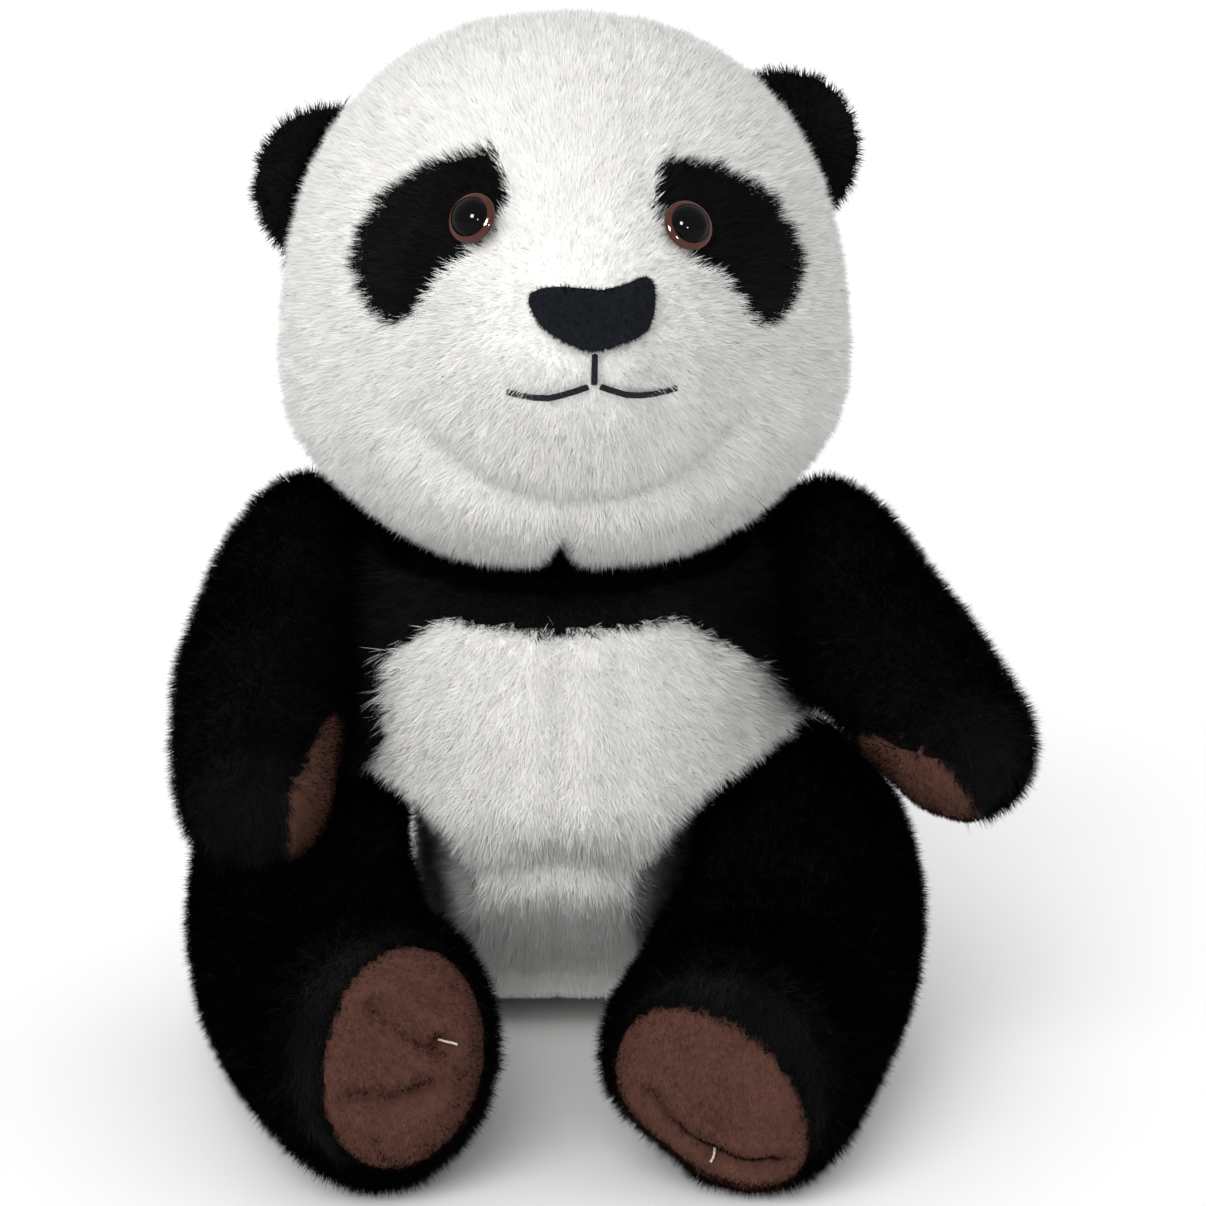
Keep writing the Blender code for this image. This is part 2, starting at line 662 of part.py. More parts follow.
def make_head():
    """The head's stuffing, fur panels, face and ears, on the neck's axis and turned a little to its left."""
    outer = head_form(0.0)
    inner = add_form("head_inner_cutter", head_form(-SKIN))
    stuffing = add_form("head_stuffing", head_form(-SKIN - GAP), cutter=False)
    finish(stuffing, "stuffing")
    muzzle_outline = [(x, z + MUZZLE_SEAM_Z) for x, z in ellipse_outline(MUZZLE_SEAM_HALF, 0.0, ROUND_SIDES)]
    muzzle_cutter = front_prism("muzzle_cutter", muzzle_outline)
    muzzle_hole = front_prism("muzzle_hole", inflate_outline(muzzle_outline, GAP))
    half = GUSSET_HALF_WIDTH
    crown = add_box("crown_cutter", (-half, -FAR, CROWN_FOOT_Z), (half, FAR, FAR))
    half += GAP
    crown_hole = add_box("crown_hole", (-half, -FAR, CROWN_FOOT_Z - GAP), (half, FAR, FAR))
    cutters = [inner, muzzle_cutter, muzzle_hole, crown, crown_hole]
    pieces = [
        stuffing,
        fur_panel("muzzle_panel", outer, "white_fur", muzzle_cutter, [inner]),
        fur_panel("crown_gusset", outer, "white_fur", crown, [inner, muzzle_hole]),
    ]
    for side, sign in SIDES:
        spread = sign * EYE_PATCH_SPREAD[side]
        corners = smooth_outline(EYE_PATCH_OUTLINE, OUTLINE_STEPS)
        outline = [(spread * x, z + FACE_RISE[side]) for x, z in corners]
        patch_cutter = front_prism(f"eye_patch_{side}_cutter", outline)
        patch_hole = front_prism(f"eye_patch_{side}_hole", inflate_outline(outline, GAP))
        eye, pocket, post_hole = make_eye(side, sign, outer)
        boolean(stuffing, pocket, "DIFFERENCE")
        near, far = sorted((sign * GAP / 2, sign * FAR))
        front = add_box(f"face_{side}_cutter", (near, -FAR, 0.0), (far, HEAD_SEAM_Y - GAP / 2, FAR))
        back = add_box(f"head_back_{side}_cutter", (near, HEAD_SEAM_Y + GAP / 2, 0.0), (far, FAR, FAR))
        pieces += eye + [
            fur_panel(f"eye_patch_{side}", outer, "black_fur", patch_cutter, [inner, post_hole]),
            fur_panel(
                f"face_panel_{side}", outer, "white_fur", front,
                [patch_hole, muzzle_hole, crown_hole, inner, post_hole],
            ),
            fur_panel(f"head_back_panel_{side}", outer, "white_fur", back, [crown_hole, inner]),
        ]
        cutters += [front, back, patch_cutter, patch_hole, pocket, post_hole]
    pieces += make_nose_and_mouth(cutters)

    neck = axis_empty("neck_axis", NECK_PIVOT, HEAD_REST_TURN)
    head = axis_empty("head_axis", NECK_PIVOT, HEAD_REST_TURN)
    make_ears(head)
    carry(pieces + cutters, head, NECK_PIVOT)
    return neck


def make_nose_and_mouth(cutters):
    """The padded nose, and the mouth's three stitched lines below it."""
    centre_x, centre_z = NOSE_CENTRE
    outline = [(centre_x + x, centre_z + z) for x, z in smooth_outline(NOSE_OUTLINE, OUTLINE_STEPS)]
    nose_cutter = front_prism("nose_cutter", outline)
    over_muzzle = add_form("nose_under_cutter", head_form(GAP))
    nose = fur_panel("nose_pad", head_form(NOSE_THICKNESS), "nose_cloth", nose_cutter, [over_muzzle])
    cutters += [nose_cutter, over_muzzle]
    heights = np.linspace(MOUTH_TOP_Z, MOUTH_FORK_Z + GAP, MOUTH_CENTRE_POINTS)
    lines = {"mouth_thread_centre": [(centre_x, z) for z in heights]}
    for side, sign in SIDES:
        line = []
        for t in np.linspace(0.0, 1.0, MOUTH_SIDE_POINTS):
            x = centre_x + sign * (MOUTH_START_X + MOUTH_REACH * t)
            line.append((x, MOUTH_FORK_Z - MOUTH_DIP * math.sin(MOUTH_BEND * t)))
        lines[f"mouth_thread_{side}"] = line
    pieces = [nose]
    for name, line in lines.items():
        cutter = front_prism(f"{name}_cutter", strip_outline(line, THREAD_WIDTH))
        raised = head_form(THREAD_THICKNESS + GAP)
        pieces.append(fur_panel(name, raised, "mouth_thread", cutter, [over_muzzle]))
        cutters.append(cutter)
    return pieces


def ear_axis(side):
    """Where an ear's seam crosses its middle, and which way the seam runs, as the head is drawn."""
    sign = side_sign(side)
    place = Vector((sign * EAR_SEAM_X, EAR_CENTRE[1], EAR_CENTRE[2] + EAR_RISE[side]))
    return place, Vector((-sign * EAR_SEAM_LEAN, 0.0, 1.0)).normalized()


def make_ears(head):
    """Each ear's front and back panels round a thin pad, clear of the head as the ear folds."""
    for side in ("left", "right"):
        place, along = ear_axis(side)
        empty = axis_empty(f"ear_{side}_axis", place, 0.0, head, NECK_PIVOT)
        cutters = []
        for angle in (-EAR_FOLD, 0.0, EAR_FOLD):
            posed = add_form(f"ear_{side}_clearance_{angle:+.0f}", head_form(SWING_GAP))
            turn = Matrix.Rotation(math.radians(angle), 4, along)
            posed.data.transform(Matrix.Translation(place) @ turn @ Matrix.Translation(-place))
            cutters.append(posed)
        inner = add_form(f"ear_{side}_inner_cutter", ear_form(side, -EAR_SKIN))
        seam = EAR_CENTRE[1]
        front = add_box(f"ear_{side}_front_cutter", (-FAR, -FAR, 0.0), (FAR, seam - GAP / 2, FAR))
        back = add_box(f"ear_{side}_back_cutter", (-FAR, seam + GAP / 2, 0.0), (FAR, FAR, FAR))
        outer = ear_form(side, 0.0)
        pieces = [
            fur_panel(f"ear_{side}_front", outer, "black_fur", front, [inner] + cutters),
            fur_panel(f"ear_{side}_back", outer, "black_fur", back, [inner] + cutters),
        ]
        pad = add_form(f"ear_{side}_stuffing", ear_form(side, -EAR_SKIN - GAP), cutter=False)
        finish(pad, "stuffing")
        for cutter in cutters:
            boolean(pad, cutter, "DIFFERENCE")
        pieces.append(pad)
        carry(pieces + cutters + [inner, front, back], empty, place)


def make_torso(clearances):
    """The torso's stuffing, bean pouch, fur panels and tail, cut back where the head and limbs move."""
    outer = torso_form(0.0)
    inner = add_form("torso_inner_cutter", torso_form(-SKIN))

    stuffing = add_form("torso_stuffing", torso_form(-SKIN - GAP), cutter=False)
    finish(stuffing, "stuffing")
    up = Vector((0.0, 0.0, 1.0))
    pouch_place = Vector((0.0, POUCH_Y, 0.0))
    pocket = bore(
        "bean_pocket_cutter", POUCH_RADIUS + GAP, (POUCH_TOP_Z, POCKET_FOOT_Z), pouch_place, up, ROUND_SIDES,
    )
    wad_ends = (NECK_HOLE_RISE, NECK_WAD_FOOT_Z - NECK_PIVOT[2])
    wad_place = Vector(NECK_PIVOT)
    wad_hole = bore("neck_hole_cutter", NECK_WAD_RADIUS + SWING_GAP, wad_ends, wad_place, up, ROUND_SIDES)
    for cutter in clearances + [pocket, wad_hole]:
        boolean(stuffing, cutter, "DIFFERENCE")

    pouch_foot = SKIN + GAP
    pouch_top = POUCH_TOP_Z - GAP
    soft = POUCH_ROUNDING
    pouch = turned(
        "bean_pouch",
        (
            (0.0, pouch_top), (POUCH_RADIUS - soft, pouch_top), (POUCH_RADIUS, pouch_top - soft),
            (POUCH_RADIUS, pouch_foot + soft), (POUCH_RADIUS - soft, pouch_foot), (0.0, pouch_foot),
        ),
        pouch_place, up, ROUND_SIDES,
    )
    finish(pouch, "pouch_cloth")

    front_y = SIDE_SEAM_Y - GAP / 2
    back_y = SIDE_SEAM_Y + GAP / 2
    side_foot_z = SEAT_SEAM_Z + GAP
    belly = front_prism("belly_cutter", BELLY_OUTLINE, front_y)
    belly_hole = front_prism("belly_hole", inflate_outline(BELLY_OUTLINE, GAP), FAR)
    seat_box = add_box("seat_cutter", (-FAR, -FAR, -FAR), (FAR, FAR, SEAT_SEAM_Z))
    chest_box = add_box("chest_cutter", (-FAR, -FAR, 0.0), (FAR, front_y, FAR))
    back_box = add_box("back_yoke_cutter", (-FAR, back_y, BACK_SEAM_Z + GAP / 2), (FAR, FAR, FAR))
    sweeps = clearances + [inner]
    fur_panel("chest_yoke", outer, "black_fur", chest_box, sweeps + [belly_hole, wad_hole])
    fur_panel("back_yoke", outer, "black_fur", back_box, sweeps + [wad_hole])
    fur_panel("seat_panel", outer, "white_fur", seat_box, sweeps)
    for side, sign in SIDES:
        near, far = sorted((sign * GAP / 2, sign * FAR))
        half = add_box(f"belly_{side}_cutter", (near, -FAR, side_foot_z), (far, front_y, FAR))
        front_panel = fur_panel(f"belly_panel_{side}", outer, "white_fur", half, sweeps)
        boolean(front_panel, belly, "INTERSECT")
        back_top_z = BACK_SEAM_Z - GAP / 2
        lower = add_box(f"lower_back_{side}_cutter", (near, back_y, side_foot_z), (far, FAR, back_top_z))
        fur_panel(f"lower_back_panel_{side}", outer, "white_fur", lower, sweeps)

    over_back = add_form("torso_over_cutter", torso_form(GAP))
    tail = add_form("tail", egg(TAIL_CENTRE, TAIL_HALF, TAIL_SIDES, TAIL_RINGS, 1.0), cutter=False)
    finish(tail, "white_fur")
    boolean(tail, over_back, "DIFFERENCE")
    stitch_half = THREAD_WIDTH / 2
    stitch_foot, stitch_top = CLOSING_STITCH_Z
    stitch_low = (-stitch_half, 0.0, stitch_foot)
    stitch_box = add_box("closing_stitch_cutter", stitch_low, (stitch_half, FAR, stitch_top))
    stitch_form = torso_form(GAP + THREAD_THICKNESS)
    fur_panel("closing_stitch", stitch_form, "closing_thread", stitch_box, [over_back])


def make_neck(neck, head_clearance):
    """The firm wad of filling that joins the head to the torso inside their sewn necks."""
    foot = NECK_WAD_FOOT_Z + GAP - NECK_PIVOT[2]
    wad = turned(
        "neck_wad",
        ((0.0, NECK_WAD_RISE), (NECK_WAD_RADIUS, NECK_WAD_RISE), (NECK_WAD_RADIUS, foot), (0.0, foot)),
        Vector(NECK_PIVOT), Vector((0.0, 0.0, 1.0)), ROUND_SIDES,
    )
    finish(wad, "stuffing")
    boolean(wad, head_clearance, "DIFFERENCE")
    carry([wad], neck, NECK_PIVOT)


def split_in_two(name, middle, sign):
    """Cutters for a limb's outer and inner panels, on either side of the seam along its middle."""
    halves = []
    for part, way in (("outer", sign), ("inside", -sign)):
        low, high = sorted((middle + way * GAP / 2, middle + way * FAR))
        halves.append(add_box(f"{name}_{part}_cutter", (low, -FAR, -FAR), (high, FAR, FAR)))
    return halves


def make_arm(side, sign):
    """An arm: an outer and an inner fur panel and a suede paw pad round its stuffing."""
    outer = arm_form(side, 0.0)
    inner = add_form(f"arm_{side}_inner_cutter", arm_form(side, -SKIN))
    stuffing = add_form(f"arm_{side}_stuffing", arm_form(side, -SKIN - GAP), cutter=False)
    finish(stuffing, "stuffing")
    tip, before = (Vector(station[0]) for station in reversed(ARM_STATIONS[side][-2:]))
    along = (tip - before).normalized()
    facing = Vector(PAW_PAD_FACING[side])
    across = along.cross(facing).normalized()
    facing = across.cross(along).normalized()
    pad_place = before + along * PAW_PAD_FORWARD
    pad_place += facing * PAW_PAD_INSET
    outline = ellipse_outline(PAW_PAD_HALF, 0.0, PAD_SIDES)
    pad_cutter = aimed_prism(f"arm_{side}_pad_cutter", outline, pad_place, across, along, facing)
    wide_outline = inflate_outline(outline, GAP)
    pad_hole = aimed_prism(f"arm_{side}_pad_hole", wide_outline, pad_place, across, along, facing, -GAP)
    outside, inside = split_in_two(f"arm_{side}", ARM_STATIONS[side][ARM_SEAM_STATION][0][0], sign)
    pieces = [
        stuffing,
        fur_panel(f"arm_{side}_outer_panel", outer, "black_fur", outside, [inner, pad_hole]),
        fur_panel(f"arm_{side}_inner_panel", outer, "black_fur", inside, [inner, pad_hole]),
        fur_panel(f"arm_{side}_paw_pad", outer, "brown_suede", pad_cutter, [inner]),
    ]
    empty = axis_empty(f"shoulder_{side}_axis", SHOULDERS[side])
    carry(pieces + [inner, pad_cutter, pad_hole, outside, inside], empty, SHOULDERS[side])


def make_leg(side, sign):
    """A leg: an outer and an inner fur panel and a suede sole round its stuffing."""
    outer = leg_form(side, 0.0)
    inner = add_form(f"leg_{side}_inner_cutter", leg_form(side, -SKIN))
    stuffing = add_form(f"leg_{side}_stuffing", leg_form(side, -SKIN - GAP), cutter=False)
    finish(stuffing, "stuffing")
    tip, before = (Vector(station[0]) for station in reversed(LEG_STATIONS[side][-2:]))
    facing = (tip - before).normalized()
    across = Vector((0.0, 0.0, 1.0)).cross(facing).normalized()
    upward = facing.cross(across)
    ankle = (before + tip) / 2
    shift = SOLE_SHIFT[side]
    corners = ellipse_outline(SOLE_HALF, SOLE_TILT[side], PAD_SIDES)
    outline = [(x + shift[0], z + shift[1]) for x, z in corners]
    sole_cutter = aimed_prism(f"leg_{side}_sole_cutter", outline, ankle, across, upward, facing)
    wide_outline = inflate_outline(outline, GAP)
    sole_hole = aimed_prism(f"leg_{side}_sole_hole", wide_outline, ankle, across, upward, facing, -GAP)
    outside, inside = split_in_two(f"leg_{side}", LEG_STATIONS[side][LEG_SEAM_STATION][0][0], sign)
    pieces = [
        stuffing,
        fur_panel(f"leg_{side}_outer_panel", outer, "black_fur", outside, [inner, sole_hole]),
        fur_panel(f"leg_{side}_inner_panel", outer, "black_fur", inside, [inner, sole_hole]),
        fur_panel(f"leg_{side}_sole", outer, "brown_suede", sole_cutter, [inner]),
    ]
    empty = axis_empty(f"hip_{side}_axis", HIPS[side])
    carry(pieces + [inner, sole_cutter, sole_hole, outside, inside], empty, HIPS[side])


def build():
    """Clears the scene and makes the panda."""
    for old in list(bpy.data.objects):
        bpy.data.objects.remove(old, do_unlink=True)
    neck = make_head()
    head_points = head_form(SWING_GAP)[0]
    head_clearance = swept_hull("head_clearance", head_points, NECK_PIVOT, head_poses())
    clearances = [head_clearance]
    for side, sign in SIDES:
        arm_sweep = arm_form(side, SWING_GAP)[0]
        leg_sweep = leg_form(side, SWING_GAP)[0]
        clearances.append(
            swept_hull(f"arm_{side}_clearance", arm_sweep, SHOULDERS[side], swing_poses(0.0, ARM_LIFT))
        )
        clearances.append(
            swept_hull(f"leg_{side}_clearance", leg_sweep, HIPS[side], swing_poses(-LEG_DROP, 0.0))
        )
    make_torso(clearances)
    make_neck(neck, head_clearance)
    for side, sign in SIDES:
        make_arm(side, sign)
        make_leg(side, sign)


build()
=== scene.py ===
import json
import math

import bpy
import bmesh
import numpy as np
from mathutils import Matrix, Vector
from mathutils.bvhtree import BVHTree
from mathutils.kdtree import KDTree


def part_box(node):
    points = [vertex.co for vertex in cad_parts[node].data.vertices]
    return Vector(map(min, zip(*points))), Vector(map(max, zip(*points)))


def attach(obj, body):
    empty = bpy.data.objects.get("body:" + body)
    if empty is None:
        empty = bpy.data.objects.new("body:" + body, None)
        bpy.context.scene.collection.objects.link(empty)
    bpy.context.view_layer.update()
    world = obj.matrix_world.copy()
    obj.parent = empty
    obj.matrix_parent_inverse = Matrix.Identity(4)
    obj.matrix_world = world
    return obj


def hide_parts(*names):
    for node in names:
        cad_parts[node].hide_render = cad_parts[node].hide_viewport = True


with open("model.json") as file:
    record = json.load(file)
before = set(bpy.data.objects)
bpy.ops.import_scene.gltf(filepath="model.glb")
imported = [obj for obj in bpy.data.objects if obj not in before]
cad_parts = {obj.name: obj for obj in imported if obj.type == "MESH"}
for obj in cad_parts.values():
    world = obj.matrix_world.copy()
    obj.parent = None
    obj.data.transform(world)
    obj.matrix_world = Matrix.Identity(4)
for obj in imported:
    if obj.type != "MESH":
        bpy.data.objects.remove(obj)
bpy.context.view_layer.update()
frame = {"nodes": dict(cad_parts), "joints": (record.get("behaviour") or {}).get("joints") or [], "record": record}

joints = {joint["name"]: joint for joint in frame["joints"]}

# --- Torso ---
# A pear of stuffed knitted plush: a white belly and lower back, and a black yoke over the chest and
# shoulders. Each panel is fur fabric sewn edge to edge, so the pile parts a little along every seam.

# How far the fabric's backing lies under the tips of its pile, for long fur and for short nap.
FUR_DEPTH = 0.0028
NAP_DEPTH = 0.0008
# The pile is flat hairs this wide, so many to a square metre, that gather into small clumps.
BLADE_WIDTH = 0.00022
HAIR_DENSITY = 6.8e6
BLADES_PER_CLUMP = 12
# The pile is a little lighter and darker in soft clouds about this far apart.
CLOUD_SIZE = 0.006
FLOOR_CLEARANCE = 0.0004
# Over this height the pile under the seat and the heels goes from flattened to full.
GROUNDED_HEIGHT = 0.004


def clear_selection():
    """Leaves nothing selected, so that an operator acts only on what is chosen next."""
    bpy.ops.object.select_all(action="DESELECT")


def points_of(form):
    """A form's points as an array."""
    values = np.empty(len(form.data.vertices) * 3)
    form.data.vertices.foreach_get("co", values)
    return values.reshape(-1, 3)


def normals_of(form):
    """The way a form faces at each of its points."""
    values = np.empty(len(form.data.vertices) * 3)
    form.data.vertices.foreach_get("normal", values)
    return values.reshape(-1, 3)


def unit(vectors):
    """Vectors of length 1."""
    return vectors / np.maximum(np.linalg.norm(vectors, axis=1), 1e-9)[:, None]


def set_points(form, points):
    """Moves a form's points to new places."""
    form.data.vertices.foreach_set("co", points.ravel())
    form.data.update()


def relaxed(form, values, rounds):
    """Values at a form's points, evened out with their neighbours' over several rounds."""
    ends = np.empty(len(form.data.edges) * 2, dtype=np.int64)
    form.data.edges.foreach_get("vertices", ends)
    start, end = ends[0::2], ends[1::2]
    count = len(form.data.vertices)
    neighbours = np.maximum(np.bincount(ends, minlength=count), 1)
    columns = values.reshape(count, -1).copy()
    for _ in range(rounds):
        for k in range(columns.shape[1]):
            column = columns[:, k]
            total = np.bincount(start, column[end], count) + np.bincount(end, column[start], count)
            columns[:, k] = 0.5 * column + 0.5 * total / neighbours
    return columns.reshape(values.shape)


def tree_of(piece):
    """A search tree over a piece's faces."""
    corners = [v.co for v in piece.data.vertices]
    return BVHTree.FromPolygons(corners, [tuple(f.vertices) for f in piece.data.polygons])


def keep_largest_shell(form):
    """Deletes the walls of hollows inside a form, and keeps its outer wall."""
    shape = bmesh.new()
    shape.from_mesh(form.data)
    left = set(shape.verts)
    shells = []
    while left:
        found = {left.pop()}
        edge_of_growth = list(found)
        while edge_of_growth:
            point = edge_of_growth.pop()
            for edge in point.link_edges:
                other = edge.other_vert(point)
                if other not in found:
                    found.add(other)
                    edge_of_growth.append(other)
        left -= found
        shells.append(found)
    largest = max(shells, key=len)
    spare = [v for shell in shells if shell is not largest for v in shell]
    bmesh.ops.delete(shape, geom=spare, context="VERTS")
    shape.to_mesh(form.data)
    shape.free()


def soft_form(name, nodes, voxel, rounds):
    """One closed, softly rounded form over the outside of the named CAD pieces."""
    clear_selection()
    for node in nodes:
        part = frame["nodes"][node].copy()
        part.data = part.data.copy()
        part.parent = None
        bpy.context.scene.collection.objects.link(part)
        part.select_set(True)
        bpy.context.view_layer.objects.active = part
    bpy.ops.object.join()
    form = bpy.context.active_object
    form.name = name
    form.data.name = name
    for key in list(form.keys()):
        del form[key]
    form.data.materials.clear()
    bpy.ops.object.mode_set(mode="EDIT")
    bpy.ops.mesh.select_all(action="SELECT")
    bpy.ops.mesh.remove_doubles(threshold=0.00001)
    bpy.ops.object.mode_set(mode="OBJECT")
    weld = form.modifiers.new("Weld of the panels", "REMESH")
    weld.mode = "VOXEL"
    weld.voxel_size = voxel
    bpy.ops.object.modifier_apply(modifier=weld.name)
    keep_largest_shell(form)
    outside = tree_of(form)
    set_points(form, relaxed(form, points_of(form), rounds))
    shrunk = []
    for point in form.data.vertices:
        place, facing, _, _ = outside.find_nearest(point.co)
        shrunk.append((place - point.co).dot(facing))
    push(form, relaxed(form, np.array(shrunk), 8))
    for face in form.data.polygons:
        face.use_smooth = True
    return form


def push(form, amount):
    """Moves each point of a form outwards by its amount."""
    set_points(form, points_of(form) + normals_of(form) * np.asarray(amount).reshape(-1, 1))


def distances(form, nodes):
    """How far each point of a form is from each of the named CAD pieces: one row a piece."""
    rows = []
    for node in nodes:
        tree = tree_of(frame["nodes"][node])
        rows.append([tree.find_nearest(point.co)[3] for point in form.data.vertices])
    return np.array(rows)


def seam_distance(reach):
    """How far each point is from the nearest seam between two panels."""
    nearest = np.sort(reach, axis=0)
    return nearest[1] - nearest[0]


def hump(distance, width):
    """1 at a distance of 0, and falling smoothly to 0 over a width or two."""
    return np.exp(-((distance / width) ** 2))


def plain_material(name, colour, roughness, specular):
    """A material of one even colour, for hairs too fine to hold a pattern."""
    look = bpy.data.materials.new(name)
    look.use_nodes = True
    shader = look.node_tree.nodes["Principled BSDF"]
    shader.inputs["Base Color"].default_value = (*colour, 1.0)
    shader.inputs["Roughness"].default_value = roughness
    shader.inputs["Specular IOR Level"].default_value = specular
    return look


def shades(name, colour, steps, roughness, specular):
    """One material for each step of lighter or darker hair."""
    made = []
    for number, step in enumerate(steps):
        tone = tuple(min(channel * step, 0.95) for channel in colour)
        made.append(plain_material(f"{name}_{number + 1}", tone, roughness, specular))
    return made


WHITE_HAIR = shades("white_hair", (0.94, 0.93, 0.91), (0.92, 0.97, 1.00, 1.01), 0.85, 0.10)
BLACK_HAIR = shades("black_hair", (0.0048, 0.0049, 0.0053), (0.30, 0.80, 1.40, 2.40), 0.80, 0.08)
PLUSH_TONES = {"white_plush": WHITE_HAIR, "black_plush": BLACK_HAIR}
SLOTS = {part["node"]: part["material_slot"] for part in frame["record"]["subparts"]}


def grow_fur(form, nodes, reach, comb, body, seed, lengths, density=HAIR_DENSITY, trim=None,
             lean=0.75, stray=0.30, patchy=0.30, ragged=0.0005, looks=PLUSH_TONES):
    """Fur over a form, as fine flat hairs in clumps: one piece for each of the CAD panels it stands for.

    comb gives the way that the pile lies at each root, and lean how flat. lengths is each panel's pile,
    which trim changes by place. stray is how far single hairs turn aside, patchy how much of a hair's tone
    is in clouds, and ragged how far clumps stray over the line between two panels.
    """
    dice = np.random.default_rng(seed)
    mesh = form.data
    mesh.calc_loop_triangles()
    corners = np.empty(len(mesh.loop_triangles) * 3, dtype=np.int32)
    mesh.loop_triangles.foreach_get("vertices", corners)
    corners = corners.reshape(-1, 3)
    points, facing = points_of(form), normals_of(form)
    a, b, c = (points[corners[:, k]] for k in range(3))
    area = np.linalg.norm(np.cross(b - a, c - a), axis=1) / 2
    count = int(area.sum() * density)
    picked = corners[np.searchsorted(np.cumsum(area), dice.random(count) * area.sum())]
    shares = dice.dirichlet((1.0, 1.0, 1.0), count)

    def at_roots(values):
        return (values[picked] * shares.reshape(count, 3, *([1] * (values.ndim - 1)))).sum(axis=1)

    roots = at_roots(points)
    out = unit(at_roots(facing))
    centres = roots[: max(count // BLADES_PER_CLUMP, 1)]
    finder = KDTree(len(centres))
    for number, centre in enumerate(centres):
        finder.insert(centre, number)
    finder.balance()
    clump = np.array([finder.find(root)[1] for root in roots])
    nearness = at_roots(reach.T) + dice.normal(0.0, ragged, (len(centres), len(nodes)))[clump]
    panel = nearness.argmin(axis=1)
    pile = np.array([lengths[node] for node in nodes])[panel]
    if trim is not None:
        pile = pile * at_roots(trim)
    pile = pile * (1.0 + dice.normal(0.0, 0.10, len(centres))[clump] + dice.normal(0.0, 0.12, count))
    along = comb(roots)
    along = unit(along - out * (along * out).sum(axis=1)[:, None])
    way = out + along * lean
    way = way + dice.normal(0.0, 0.12, (len(centres), 3))[clump] + dice.normal(0.0, stray, (count, 3))
    way = way + 0.30 * (centres[clump] - roots) / np.maximum(pile, 0.0005)[:, None]
    way = unit(way)
    rise = (way * out).sum(axis=1)
    way = unit(way + out * np.maximum(0.35 - rise, 0.0)[:, None])
    tips = roots + way * pile[:, None]
    roots = roots - out * 0.0003
    across = unit(np.cross(way, out)) * BLADE_WIDTH / 2
    lit = out + 0.30 * way + dice.normal(0.0, 0.12, (len(centres), 3))[clump]
    lit = unit(lit + dice.normal(0.0, 0.20, (count, 3)))
    tone = 0.25 * dice.random(len(centres))[clump] + 0.75 * dice.random(count)
    tone = (1.0 - patchy) * tone + patchy * clouds(roots, dice)
    for number, node in enumerate(nodes):
        mine = panel == number
        tones = looks[SLOTS[node]]
        step = np.minimum((tone[mine] * len(tones)).astype(int), len(tones) - 1)
        piece = add_hairs(f"{node}_fur", roots[mine], tips[mine], across[mine], lit[mine], step, tones)
        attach(piece, body)
        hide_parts(node)


def clouds(places, dice):
    """Soft random patches from 0 to 1 over some places."""
    total = np.zeros(len(places))
    for _ in range(9):
        way = dice.normal(0.0, 1.0 / CLOUD_SIZE, 3)
        total += np.sin(places @ way + dice.random() * 2.0 * math.pi)
    return np.clip(0.5 + total / 9.0, 0.0, 0.999)


def add_hairs(name, roots, tips, across, lit, step, tones):
    """One mesh of flat hairs, each a narrow triangle that is lit as if it faced the way given by lit."""
    count = len(roots)
    places = np.stack([roots - across, roots + across, tips], axis=1)
    places[:, :, 2] = np.maximum(places[:, :, 2], FLOOR_CLEARANCE)
    facing = np.repeat(lit, 3, axis=0)
    mesh = bpy.data.meshes.new(name)
    mesh.vertices.add(3 * count)
    mesh.vertices.foreach_set("co", places.ravel())
    mesh.loops.add(3 * count)
    mesh.loops.foreach_set("vertex_index", np.arange(3 * count, dtype=np.int32))
    mesh.polygons.add(count)
    mesh.polygons.foreach_set("loop_start", np.arange(0, 3 * count, 3, dtype=np.int32))
    for look in tones:
        mesh.materials.append(look)
    mesh.polygons.foreach_set("material_index", step.astype(np.int32))
    mesh.polygons.foreach_set("use_smooth", np.ones(count, dtype=bool))
    mesh.update(calc_edges=True)
    mesh.normals_split_custom_set_from_vertices(facing)
    piece = bpy.data.objects.new(name, mesh)
    bpy.context.scene.collection.objects.link(piece)
    return piece


def pattern_group(name, size):
    """An empty shader group that turns two colours and a size into a colour and a height."""
    group = bpy.data.node_groups.new(name, "ShaderNodeTree")
    for socket in ("Light", "Dark"):
        group.interface.new_socket(socket, in_out="INPUT", socket_type="NodeSocketColor")
    group.interface.new_socket(size, in_out="INPUT", socket_type="NodeSocketFloat")
    group.interface.new_socket("Colour", in_out="OUTPUT", socket_type="NodeSocketColor")
    group.interface.new_socket("Height", in_out="OUTPUT", socket_type="NodeSocketFloat")
    return group


def fill_pattern(group, size, pattern):
    """Joins a pattern texture to a group: it picks between the two colours, and is the height as well."""
    nodes, links = group.nodes, group.links
    given = nodes.new("NodeGroupInput")
    result = nodes.new("NodeGroupOutput")
    place = nodes.new("ShaderNodeTexCoord")
    tint = nodes.new("ShaderNodeMix")
    tint.data_type = "RGBA"
    links.new(place.outputs["Object"], pattern.inputs["Vector"])
    links.new(given.outputs[size], pattern.inputs["Scale"])
    links.new(pattern.outputs["Fac"], tint.inputs["Factor"])
    links.new(given.outputs["Dark"], tint.inputs["A"])
    links.new(given.outputs["Light"], tint.inputs["B"])
    links.new(tint.outputs["Result"], result.inputs["Colour"])
    links.new(pattern.outputs["Fac"], result.inputs["Height"])


